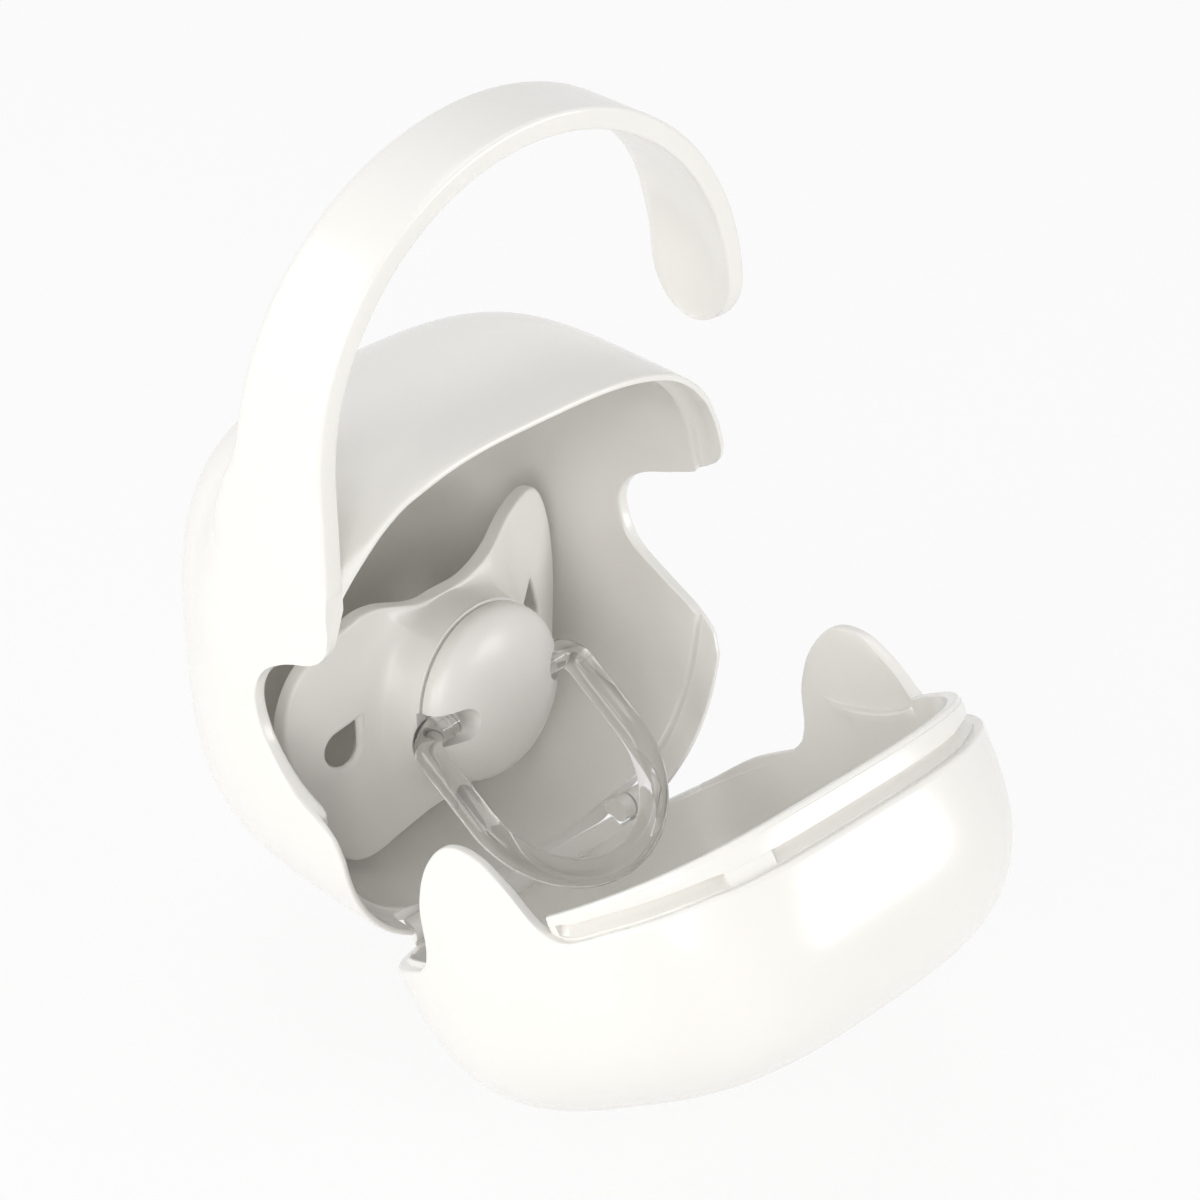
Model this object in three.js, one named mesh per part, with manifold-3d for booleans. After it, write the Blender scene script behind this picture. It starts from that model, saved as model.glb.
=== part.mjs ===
// Pacifier case, open: rear shell with its carrying hook, hinged lid, and the pacifier it holds.
// Millimetres. X across the case, Y to the back, Z up. The origin is on the flat foot of the rear shell.
import * as THREE from "three";
import { mergeVertices } from "three/addons/utils/BufferGeometryUtils.js";
import Module from "manifold-3d";

const wasm = await Module();
wasm.setup();

// Case body: a rounded box, widest at y = 0 of its own centre frame.
const halfWidth = 30;
const halfHeight = 31;
const frontReach = 29.5;
const backReach = 30.9;
const sectionPower = 3.18;
const depthPower = 3.65;
const wall = 1.6;
const footTrim = 0.6;
const footCentreY = 6.5;
const gap = 0.3;

// Parting line between rear shell and lid, seen from the side, from top to bottom.
// Shares of the reach to the back and of half the height.
const partingShares = [
  { y: -0.233, z: 2.26 },
  { y: -0.233, z: 1.1 },
  { y: -0.214, z: 0.887 },
  { y: -0.194, z: 0.645 },
  { y: -0.181, z: 0.465 },
  { y: -0.104, z: 0.377 },
  { y: 0.049, z: 0.31 },
  { y: 0.175, z: 0.219 },
  { y: 0.23, z: 0.084 },
  { y: 0.181, z: -0.074 },
  { y: 0.058, z: -0.213 },
  { y: -0.1, z: -0.303 },
  { y: -0.168, z: -0.406 },
  { y: -0.175, z: -0.645 },
  { y: -0.175, z: -2.26 },
];
// The right notch of the rear shell reaches further back than the lid's ear.
const rightNotchShares = [
  { y: -0.104, z: 0.377 },
  { y: 0.058, z: 0.297 },
  { y: 0.23, z: 0.219 },
  { y: 0.327, z: 0.12 },
  { y: 0.343, z: 0.01 },
  { y: 0.275, z: -0.119 },
  { y: 0.1, z: -0.213 },
  { y: -0.065, z: -0.29 },
  { y: -0.155, z: -0.39 },
];
const sharesAboveNotch = 5;
const sharesBelowNotch = 2;
const sidePoint = (share) => ({ y: share.y * backReach, z: share.z * halfHeight });
const partingPoints = partingShares.map(sidePoint);
const rightRearPoints = [
  ...partingPoints.slice(0, sharesAboveNotch),
  ...rightNotchShares.map(sidePoint),
  ...partingPoints.slice(-sharesBelowNotch),
];
const partingSteps = 4;
const farAway = 80;

// Rebate inside the rim of the rear shell, and the lip of the lid that enters it.
const rebateDepth = 0.7;
const rebateReach = 5.2;
const lipProud = 3.5;
const lipRoot = 3.4;
const lipEndShare = 0.439;
const lipOuter = 1;
const lipInner = 2.3;
const lipEndZ = lipEndShare * halfHeight;
const windowDepth = 1.65;
const windowNear = 0.35;
const windowFar = 1.85;
const tabPlaceShare = -0.485;
const tabCentreX = tabPlaceShare * halfWidth;
const tabHalf = 2.2;
const sideLipTopShare = -0.335;
const sideLipBottomShare = -0.813;
const sideLipTop = sideLipTopShare * halfHeight;
const sideLipBottom = sideLipBottomShare * halfHeight;
const sideLipProud = 1.2;
const ledgeReach = 0.6;
const ledgeBand = 1;
const ledgeShares = [
  { y: -0.01, z: -0.106 },
  { y: -0.066, z: -0.01 },
  { y: -0.112, z: 0.129 },
  { y: -0.13, z: 0.268 },
  { y: -0.122, z: 0.4 },
];
const ledgePoints = ledgeShares.map(sidePoint);

// Hinge along the bottom edge: a knuckle of each shell near either end, with the rim running on between.
const hingeBehind = 1.6;
const hingeAboveFoot = 2.5;
const hingeY = partingPoints[partingPoints.length - 1].y + hingeBehind;
const hingeZ = hingeAboveFoot - halfHeight;
const barrelRadius = 1.5;
const pinRadius = 0.5;
const boreRadius = 0.8;
const pinNear = 13.8;
const pinFar = 16;
const rearKnuckleNear = 13.4;
const rearKnuckleFar = 15;
const lidKnuckleFar = 19.4;
const sweepRadius = 2.5;
const sweepHalf = 19.8;
const knuckleClear = 1.85;
const rearWebReach = 3.4;
const lidWebReach = 2.9;
const webTop = 0.2;
const openDegrees = 54;

// Hook: a flat band that rises from the left wall and arches over the top, with a spoon-shaped tip.
const hookThickness = 2.5;
const hookRadius = 29.4;
const hookSink = 0.05;
const hookRise = 2.4;
const hookSetBack = 1.2;
const hookStartShare = 0.13;
const hookEndDegrees = -8.5;
const hookCentreX = hookRadius + hookThickness / 2 + hookSink - halfWidth;
const hookCentreZ = halfHeight + hookRise;
const hookStartZ = hookStartShare * halfHeight;
const hookFrontY = partingPoints[0].y + hookSetBack;
const hookStraightSteps = 8;
const hookArcSteps = 29;
const hookBaseBack = 13.5;
const hookBackShares = [
  { along: 0, back: 1 },
  { along: 0.135, back: 0.978 },
  { along: 0.182, back: 0.859 },
  { along: 0.214, back: 0.689 },
  { along: 0.246, back: 0.585 },
  { along: 0.301, back: 0.511 },
  { along: 0.412, back: 0.415 },
  { along: 0.539, back: 0.348 },
  { along: 0.666, back: 0.341 },
  { along: 0.793, back: 0.385 },
  { along: 0.856, back: 0.459 },
  { along: 0.904, back: 0.511 },
  { along: 1.03, back: 0.519 },
];
const tipRound = 6.6;
const tipDish = 1.3;
const dishLength = 22;
const hookAcross = 4;
const hookEdgeShare = 0.36;
const hookFrontEase = 0.5;
const tipShare = 0.12;

// Pacifier, placed leaning back on the floor of the rear shell.
const pacifierRoom = 20.3;
const pacifierRest = 21.1;
const pacifierY = backReach - pacifierRoom;
const pacifierZ = pacifierRest - halfHeight;
const leanDegrees = 6;
const turnDegrees = 5;
const shieldThickness = 2;
const wingReach = 23;
const shieldShares = [
  { x: 0, z: 0.478 },
  { x: 0.2, z: 0.487 },
  { x: 0.374, z: 0.522 },
  { x: 0.539, z: 0.626 },
  { x: 0.696, z: 0.713 },
  { x: 0.835, z: 0.704 },
  { x: 0.948, z: 0.565 },
  { x: 0.991, z: 0.304 },
  { x: 1, z: 0 },
  { x: 0.939, z: -0.304 },
  { x: 0.765, z: -0.583 },
  { x: 0.47, z: -0.774 },
  { x: 0, z: -0.835 },
];
const shieldDirections = 44;
const shieldRingShares = [0.4, 0.6, 0.75, 0.87, 0.93, 0.97, 1];
const wingBack = 3.7;
const bossFoot = 13.4;
const bossHeight = 6.1;
const bossRoom = 9.2;
const ventX = 17;
const ventRadius = 2.1;
const ventPoint = 4.8;
const leftVentDrop = 2;
const rightVentDrop = 0.9;
const leftVentDegrees = 42;
const rightVentDegrees = 15;
const shieldHole = 5.4;
const buttonRadius = 10.5;
const buttonSide = 7;
const buttonHeight = 10.8;
const buttonBase = 6.4;
const buttonPower = 2.2;
const buttonWall = 1.4;
const pivotFront = 7.8;
const pivotHole = 2;
const slotNear = 5.2;
const ringTube = 1.7;
const ringInside = 7.4;
const ringHalf = 12.5;
const ringCorner = 2.4;
const ringReach = 23.8;
const ringDropDegrees = 37;
const flangeRadius = 7.4;
const flangeThickness = 1.2;
const neckRadius = 5;
const teatBore = 3.4;
const teatNeck = 4.3;
const teatBulb = 5.2;
const teatLength = 16.2;
const teatWall = 1.2;
const plugRadius = 6.4;
const plugDisc = 1.1;
const plugPost = 3;
const plugReach = 3.2;

const aroundSection = 40;
const alongSections = 22;
const roundSegments = 32;

const root = new THREE.Group();
root.name = "pacifier_case";
const caseFrame = new THREE.Group();
caseFrame.position.set(0, -footCentreY, halfHeight - footTrim);
root.add(caseFrame);
const pacifier = new THREE.Group();
pacifier.position.set(0, pacifierY, pacifierZ);
pacifier.rotation.set(THREE.MathUtils.degToRad(-leanDegrees), 0, THREE.MathUtils.degToRad(turnDegrees), "ZYX");
caseFrame.add(pacifier);

const shellWhite = new THREE.MeshStandardMaterial({ color: 0xf3eee6, roughness: 0.28 });
const sandMatte = new THREE.MeshStandardMaterial({ color: 0xd9d1c6, roughness: 0.55 });
const clearPlastic = new THREE.MeshStandardMaterial({ color: 0xf2f2ef, roughness: 0.1, transparent: true, opacity: 0.35 });
const silicone = new THREE.MeshStandardMaterial({ color: 0xe9e2d6, roughness: 0.45 });
const steel = new THREE.MeshStandardMaterial({ color: 0xb8babd, roughness: 0.3, metalness: 1 });

function solidFromArrays(points, faces) {
  const geometry = new THREE.BufferGeometry();
  geometry.setAttribute("position", new THREE.Float32BufferAttribute(points.flat(), 3));
  geometry.setIndex(faces.flat());
  return solidFromGeometry(geometry);
}

function solidFromGeometry(geometry) {
  const bare = geometry.clone();
  bare.deleteAttribute("normal");
  bare.deleteAttribute("uv");
  const merged = mergeVertices(bare);
  const vertProperties = new Float32Array(merged.attributes.position.array);
  const triVerts = new Uint32Array(merged.index.array);
  const made = new wasm.Manifold(new wasm.Mesh({ numProp: 3, vertProperties, triVerts }));
  if (made.volume() >= 0) return made;
  for (let i = 0; i < triVerts.length; i += 3) {
    const kept = triVerts[i];
    triVerts[i] = triVerts[i + 1];
    triVerts[i + 1] = kept;
  }
  return new wasm.Manifold(new wasm.Mesh({ numProp: 3, vertProperties, triVerts }));
}

// A solid through closed loops of equal length, its ends closed to a point each.
function loftSolid(loops, startPoint, endPoint) {
  const points = [];
  const faces = [];
  const size = loops[0].length;
  loops.forEach((loop) => points.push(...loop));
  for (let i = 0; i + 1 < loops.length; i++) {
    for (let j = 0; j < size; j++) {
      const k = (j + 1) % size;
      const a = i * size + j;
      const b = i * size + k;
      faces.push([a, b, b + size], [a, b + size, a + size]);
    }
  }
  const first = points.length;
  points.push(startPoint, endPoint);
  const lastLoop = (loops.length - 1) * size;
  for (let j = 0; j < size; j++) {
    const k = (j + 1) % size;
    faces.push([first, k, j], [first + 1, lastLoop + j, lastLoop + k]);
  }
  return solidFromArrays(points, faces);
}

// The case body's form, drawn in by the given distance on every side.
function bodyForm(inset) {
  const bend = 2 / depthPower;
  const turn = 2 / sectionPower;
  const signedPower = (value, power) => Math.sign(value) * Math.abs(value) ** power;
  const loops = [];
  for (let i = 1; i < alongSections; i++) {
    const angle = Math.PI * (i / alongSections - 1 / 2);
    const reach = angle < 0 ? frontReach - inset : backReach - inset;
    const y = reach * signedPower(Math.sin(angle), bend);
    const size = Math.cos(angle) ** bend;
    const loop = [];
    for (let j = 0; j < aroundSection; j++) {
      const around = (2 * Math.PI * j) / aroundSection;
      loop.push([
        (halfWidth - inset) * size * signedPower(Math.cos(around), turn),
        y,
        (halfHeight - inset) * size * signedPower(Math.sin(around), turn),
      ]);
    }
    loops.push(loop);
  }
  return loftSolid(loops, [0, inset - frontReach, 0], [0, backReach - inset, 0]);
}

function box(x0, x1, y0, y1, z0, z1) {
  const geometry = new THREE.BoxGeometry(x1 - x0, y1 - y0, z1 - z0);
  geometry.translate((x0 + x1) / 2, (y0 + y1) / 2, (z0 + z1) / 2);
  return solidFromGeometry(geometry);
}

// A straight round bar along X.
function barAlongX(radius, x0, x1, y, z) {
  const geometry = new THREE.CylinderGeometry(radius, radius, x1 - x0, roundSegments);
  geometry.rotateZ(Math.PI / 2);
  geometry.translate((x0 + x1) / 2, y, z);
  return solidFromGeometry(geometry);
}

// A side outline of { y, z } points, extruded along X through the whole case.
function prismAlongX(outline, x0, x1) {
  const flat = outline.map((p) => new THREE.Vector2(p.y, p.z));
  const triangles = THREE.ShapeUtils.triangulateShape(flat, []);
  const count = flat.length;
  const points = [];
  flat.forEach((p) => points.push([x0, p.x, p.y]));
  flat.forEach((p) => points.push([x1, p.x, p.y]));
  const faces = [];
  triangles.forEach(([a, b, c]) => faces.push([a, b, c], [count + a, count + c, count + b]));
  const turned = THREE.ShapeUtils.isClockWise(flat);
  for (let i = 0; i < count; i++) {
    const k = (i + 1) % count;
    if (turned) faces.push([i, k, count + i], [k, count + k, count + i]);
    else faces.push([k, i, count + i], [k, count + i, count + k]);
  }
  return solidFromArrays(points, faces);
}

function partingCurve(line) {
  const spline = new THREE.SplineCurve(line.map((p) => new THREE.Vector2(p.y, p.z)));
  const samples = [];
  const total = (line.length - 1) * partingSteps;
  for (let i = 0; i <= total; i++) samples.push(spline.getPoint(i / total));
  return samples;
}

// Everything behind the parting line, its edge moved along its own normal and then back by the shift.
function behindParting(offset, shift, line = partingPoints, x0 = -farAway, x1 = farAway) {
  const samples = partingCurve(line);
  const outline = samples.map((p, i) => {
    const before = samples[Math.max(i - 1, 0)];
    const after = samples[Math.min(i + 1, samples.length - 1)];
    const length = before.distanceTo(after);
    return {
      y: p.x + (offset * (before.y - after.y)) / length + shift,
      z: p.y + (offset * (after.x - before.x)) / length,
    };
  });
  outline.push({ y: farAway, z: outline[outline.length - 1].z }, { y: farAway, z: outline[0].z });
  return prismAlongX(outline, x0, x1);
}

// The same for the rear shell, whose right side has the deeper notch.
function behindRearEdge(offset, shift) {
  const left = behindParting(offset, shift, partingPoints, -farAway, gap);
  return left.add(behindParting(offset, shift, rightRearPoints, 0, farAway));
}

function meshOf(name, solid, material, parent) {
  const { vertProperties, triVerts, numProp } = solid.getMesh();
  const positions = new Float32Array((vertProperties.length / numProp) * 3);
  for (let i = 0; i < positions.length / 3; i++) {
    for (let k = 0; k < 3; k++) positions[3 * i + k] = vertProperties[numProp * i + k];
  }
  const geometry = new THREE.BufferGeometry();
  geometry.setAttribute("position", new THREE.BufferAttribute(positions, 3));
  geometry.setIndex(new THREE.BufferAttribute(new Uint32Array(triVerts), 1));
  geometry.computeVertexNormals();
  const mesh = new THREE.Mesh(geometry, material);
  mesh.name = name;
  parent.add(mesh);
  return mesh;
}

// Where the hook's back edge lies, between the stations along its length.
function backAt(share) {
  const last = hookBackShares.length - 1;
  let i = 0;
  while (i < last - 1 && hookBackShares[i + 1].along < share) i++;
  const from = hookBackShares[i];
  const to = hookBackShares[i + 1];
  const part = THREE.MathUtils.clamp((share - from.along) / (to.along - from.along), 0, 1);
  return hookBaseBack * (from.back + (to.back - from.back) * part);
}

// Half of the hook's section, from its flat front face to its round back edge, as across and depth.
function hookSide(half, ease) {
  const side = [
    { across: -half, depth: hookThickness / 2 - ease },
    { across: ease - half, depth: hookThickness / 2 },
    { across: 0, depth: hookThickness / 2 },
  ];
  const round = half * hookEdgeShare;
  for (let i = 0; i <= hookAcross; i++) {
    const angle = ((Math.PI / 2) * i) / hookAcross;
    side.push({
      across: half - round + round * Math.sin(angle),
      depth: i === hookAcross ? 0 : (hookThickness / 2) * Math.cos(angle),
    });
  }
  return side;
}

function hookBand() {
  const straight = hookCentreZ - hookStartZ;
  const sweep = Math.PI - THREE.MathUtils.degToRad(hookEndDegrees);
  const arcLength = hookRadius * sweep;
  const total = straight + arcLength;
  const alongs = [];
  for (let i = 0; i < hookStraightSteps; i++) alongs.push((straight * i) / hookStraightSteps);
  for (let i = 0; i <= hookArcSteps; i++) {
    const share = Math.sin(((i / hookArcSteps) * Math.PI) / 2) * (1 / 2) + (i / hookArcSteps) * (1 / 2);
    alongs.push(straight + arcLength * share);
  }
  const loops = alongs.map((along) => {
    const angle = Math.PI - Math.max(along - straight, 0) / hookRadius;
    const centre = {
      x: hookCentreX + hookRadius * Math.cos(angle),
      z: Math.min(hookStartZ + along, hookCentreZ) + hookRadius * Math.sin(angle),
    };
    const outward = { x: Math.cos(angle), z: Math.sin(angle) };
    const back = backAt(along / total);
    const middle = (back + hookFrontY) / 2;
    const toEnd = Math.min((total - along) / tipRound, 1);
    const roundShare = Math.sqrt(Math.max(1 - (1 - toEnd) ** 2, tipShare ** 2));
    const half = ((back - hookFrontY) / 2) * roundShare;
    const dish = tipDish * THREE.MathUtils.smoothstep(along, total - dishLength, total - tipRound);
    const place = (point, sign) => {
      const bow = dish * (1 - (point.across / half) ** 2) * roundShare;
      const off = bow + sign * point.depth;
      return [centre.x + outward.x * off, middle + point.across, centre.z + outward.z * off];
    };
    const side = hookSide(half, hookFrontEase * roundShare);
    const inside = side.slice(0, -1).reverse();
    return [...side.map((p) => place(p, 1)), ...inside.map((p) => place(p, -1))];
  });
  const middleOf = (loop) => {
    const sum = loop.reduce((all, p) => [all[0] + p[0], all[1] + p[1], all[2] + p[2]], [0, 0, 0]);
    return sum.map((value) => value / loop.length);
  };
  return loftSolid(loops, middleOf(loops[0]), middleOf(loops[loops.length - 1]));
}

const sides = [-1, 1];
const outerForm = bodyForm(0);
const innerForm = bodyForm(wall);
const aboveFoot = box(-farAway, farAway, -farAway, farAway, footTrim - halfHeight, farAway);
const hookSolid = hookBand();

// A round bar on the hinge axis, on one side, between two distances from the middle.
function hingeBar(side, radius, near, far) {
  return barAlongX(radius, Math.min(side * near, side * far), Math.max(side * near, side * far), hingeY, hingeZ);
}

// A block that carries a knuckle, on one side, between two distances from the middle.
function hingeWeb(side, near, far, y0, y1, top) {
  return box(
    Math.min(side * near, side * far),
    Math.max(side * near, side * far),
    y0,
    y1,
    hingeZ - barrelRadius,
    top,
  );
}

// Rear shell with its hook, rebate and inner knuckles.
function rearShell() {
  let shell = outerForm.add(hookSolid).subtract(innerForm).intersect(aboveFoot);
  shell = shell.intersect(behindRearEdge(gap / 2, 0));
  const rebateBack = partingPoints[0].y + rebateReach;
  const nearRim = bodyForm(rebateDepth).intersect(box(-farAway, farAway, -farAway, rebateBack, -farAway, farAway));
  const aboveHinge = box(-farAway, farAway, -farAway, farAway, hingeZ + sweepRadius, farAway);
  shell = shell.subtract(nearRim.intersect(aboveHinge));
  shell = shell.subtract(barAlongX(sweepRadius, -sweepHalf, sweepHalf, hingeY, hingeZ));
  sides.forEach((side) => {
    const knuckle = hingeBar(side, barrelRadius, rearKnuckleNear, rearKnuckleFar);
    const webEnd = hingeY + rearWebReach;
    const web = hingeWeb(side, rearKnuckleNear, rearKnuckleFar, hingeY, webEnd, hingeZ - webTop);
    shell = shell.add(knuckle.add(web).intersect(outerForm));
    shell = shell.subtract(hingeBar(side, boreRadius, pinNear - gap, pinFar + gap));
  });
  return shell;
}

// A strip along the parting line, between two insets and between two distances behind the line.
function partingStrip(near, far, from, to) {
  const layer = bodyForm(near).subtract(bodyForm(far));
  return layer.intersect(behindParting(0, from)).subtract(behindParting(0, to));
}

function lidShell() {
  let shell = outerForm.subtract(innerForm).intersect(aboveFoot);
  shell = shell.subtract(behindParting(-gap / 2, 0));
  const lipTop = partingPoints[0].y + lipProud;
  const lipRoom = box(-farAway, farAway, -farAway, lipTop, lipEndZ, farAway);
  const topLip = partingStrip(lipOuter, lipInner, -lipRoot, lipProud).intersect(lipRoom);
  const windowCut = partingStrip(0, windowDepth, windowNear, windowFar);
  const tab = box(tabCentreX - tabHalf, tabCentreX + tabHalf, -farAway, farAway, 0, farAway);
  shell = shell.add(topLip.subtract(windowCut.subtract(tab)));
  const sideLip = partingStrip(lipOuter, lipInner, -lipRoot, sideLipProud);
  const sideTop = partingPoints[partingPoints.length - 1].y + sideLipProud;
  const sideRoom = box(-farAway, farAway, -farAway, sideTop, sideLipBottom, sideLipTop);
  const middle = rearKnuckleNear - gap;
  const middleRoom = box(-middle, middle, -farAway, sideTop, -farAway, 0);
  shell = shell.add(sideLip.intersect(sideRoom)).add(sideLip.intersect(middleRoom));
  const ledgeCurve = new THREE.SplineCurve(ledgePoints.map((p) => new THREE.Vector2(p.y, p.z)));
  const ledgeSamples = ledgeCurve.getPoints(partingSteps + partingSteps);
  const ledgeOutline = ledgeSamples.map((p) => ({ y: p.x, z: p.y }));
  ledgeSamples.reverse().forEach((p) => ledgeOutline.push({ y: p.x - ledgeBand, z: p.y }));
  const ledgeLayer = bodyForm(wall / 2).subtract(bodyForm(wall + ledgeReach));
  const ledge = ledgeLayer.intersect(prismAlongX(ledgeOutline, -farAway, farAway));
  shell = shell.add(ledge.subtract(behindParting(-gap / 2, 0)));
  sides.forEach((side) => {
    const near = rearKnuckleFar + gap;
    shell = shell.subtract(hingeBar(side, knuckleClear, rearKnuckleNear - gap, near));
    const knuckle = hingeBar(side, barrelRadius, near, lidKnuckleFar);
    const web = hingeWeb(side, near, lidKnuckleFar, hingeY - lidWebReach, hingeY, hingeZ + webTop);
    shell = shell.add(knuckle.add(web).intersect(outerForm));
    shell = shell.subtract(hingeBar(side, boreRadius, pinNear - gap, pinFar + gap));
  });
  return shell;
}

meshOf("rear_shell", rearShell(), shellWhite, caseFrame);

const lidPivot = new THREE.Group();
lidPivot.position.set(0, hingeY, hingeZ);
lidPivot.rotation.x = THREE.MathUtils.degToRad(openDegrees);
caseFrame.add(lidPivot);
const lidInPlace = new THREE.Group();
lidInPlace.position.set(0, -hingeY, -hingeZ);
lidPivot.add(lidInPlace);
meshOf("lid_shell", lidShell(), shellWhite, lidInPlace);
meshOf("hinge_pin_left", hingeBar(-1, pinRadius, pinNear, pinFar), steel, caseFrame);
meshOf("hinge_pin_right", hingeBar(1, pinRadius, pinNear, pinFar), steel, caseFrame);

// Shield: a thin butterfly plate with rounded edge, its wings curving back.
function shieldOutline() {
  const mirrored = shieldShares.slice(1, -1).reverse().map((p) => ({ x: -p.x, z: p.z }));
  const whole = [...shieldShares, ...mirrored].map(
    (p) => new THREE.Vector3(p.x * wingReach, 0, p.z * wingReach),
  );
  const outline = new THREE.CatmullRomCurve3(whole, true, "centripetal").getSpacedPoints(shieldDirections);
  outline.pop();
  return outline;
}

function shieldSolid() {
  const outline = shieldOutline();
  const wingAt = (x) => wingBack * (x / wingReach) ** 2;
  const ring = (share, side) => {
    const inner = Math.min(1, (1 - share) / (1 - shieldRingShares[3]));
    const thick = (shieldThickness / 2) * Math.sqrt(1 - (1 - inner) ** 2);
    return outline.map((p) => [p.x * share, wingAt(p.x * share) + side * thick, p.z * share]);
  };
  const loops = [];
  shieldRingShares.forEach((share) => loops.push(ring(share, -1)));
  shieldRingShares.slice(0, -1).reverse().forEach((share) => loops.push(ring(share, 1)));
  return loftSolid(loops, [0, -shieldThickness / 2, 0], [0, shieldThickness / 2, 0]);
}

// The room for the ring's two ends, in button and boss.
function pivotBar() {
  return barAlongX(pivotHole, -bossFoot, bossFoot, -pivotFront, 0);
}

// A straight round bar along Y.
function barAlongY(radius, y0, y1) {
  const geometry = new THREE.CylinderGeometry(radius, radius, y1 - y0, roundSegments);
  geometry.translate(0, (y0 + y1) / 2, 0);
  return solidFromGeometry(geometry);
}

function ventSolid(side, drop, leanDegrees) {
  const shape = new THREE.Shape();
  const turn = Math.acos(ventRadius / ventPoint);
  shape.absarc(0, 0, ventRadius, Math.PI / 2 + turn, Math.PI / 2 - turn + 2 * Math.PI, false);
  shape.lineTo(0, ventPoint);
  shape.closePath();
  const geometry = new THREE.ExtrudeGeometry(shape, {
    depth: 2 * buttonHeight,
    bevelEnabled: false,
    curveSegments: roundSegments / 4,
  });
  geometry.translate(0, 0, -buttonHeight);
  geometry.rotateX(Math.PI / 2);
  geometry.rotateY(THREE.MathUtils.degToRad(leanDegrees));
  geometry.translate(side * ventX, 0, -drop);
  return solidFromGeometry(geometry);
}

// The boss flares from the plate up to the button, hollow inside, and keeps within the plate's outline.
function bossSolid() {
  const flare = new THREE.QuadraticBezierCurve(
    new THREE.Vector2(bossFoot, -shieldThickness / 4),
    new THREE.Vector2(buttonRadius + gap / 2, bossHeight / 3),
    new THREE.Vector2(buttonRadius, bossHeight),
  );
  const profile = [
    new THREE.Vector2(0, bossHeight),
    ...flare.getPoints(roundSegments / 8).reverse(),
    new THREE.Vector2(0, -shieldThickness / 4),
  ];
  const within = new THREE.ExtrudeGeometry(
    new THREE.Shape(shieldOutline().map((p) => new THREE.Vector2(p.x, p.z))),
    { depth: 2 * buttonHeight, bevelEnabled: false },
  );
  within.translate(0, 0, -buttonHeight);
  within.rotateX(Math.PI / 2);
  return turnedSolid(profile).intersect(solidFromGeometry(within));
}

function shieldBody() {
  const hole = barAlongY(shieldHole, -buttonHeight, buttonHeight);
  const room = barAlongY(bossRoom, -buttonHeight, -shieldThickness / 2);
  let body = shieldSolid().add(bossSolid()).subtract(room).subtract(hole);
  body = body.subtract(ventSolid(-1, leftVentDrop, leftVentDegrees));
  body = body.subtract(ventSolid(1, rightVentDrop, rightVentDegrees));
  return body.subtract(pivotBar());
}
meshOf("pacifier_shield", shieldBody(), sandMatte, pacifier);

// Domed profile of the button, from its middle to its foot, drawn in by the inset.
function domeProfile(inset, foot) {
  const radius = buttonRadius - inset;
  const height = buttonHeight - inset - buttonSide;
  const steps = roundSegments / 4;
  const profile = [new THREE.Vector2(0, buttonSide + height)];
  for (let i = 1; i <= steps; i++) {
    const angle = ((Math.PI / 2) * i) / steps;
    profile.push(
      new THREE.Vector2(
        radius * Math.sin(angle) ** (2 / buttonPower),
        i === steps ? buttonSide : buttonSide + height * Math.cos(angle) ** (2 / buttonPower),
      ),
    );
  }
  profile.push(new THREE.Vector2(radius, foot), new THREE.Vector2(0, foot));
  return profile;
}

function turnedSolid(profile) {
  const geometry = new THREE.LatheGeometry(profile, roundSegments);
  geometry.rotateX(Math.PI);
  return solidFromGeometry(geometry);
}

// One of the two slots in the button's face, round at its inner end and open to the side.
function slotSolid(side) {
  const middle = side * (slotNear + pivotHole);
  const end = side * bossFoot;
  const far = box(
    Math.min(middle, end),
    Math.max(middle, end),
    -2 * buttonHeight,
    -pivotFront,
    -pivotHole,
    pivotHole,
  );
  return barAlongY(pivotHole, -2 * buttonHeight, -pivotFront).translate([middle, 0, 0]).add(far);
}

function buttonSolid() {
  const cap = turnedSolid(domeProfile(0, buttonBase));
  const room = turnedSolid(domeProfile(buttonWall, 0));
  const slots = sides.map(slotSolid);
  return cap.subtract(room).subtract(pivotBar()).subtract(slots[0]).subtract(slots[1]);
}
meshOf("pacifier_button", buttonSolid(), sandMatte, pacifier);

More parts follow.
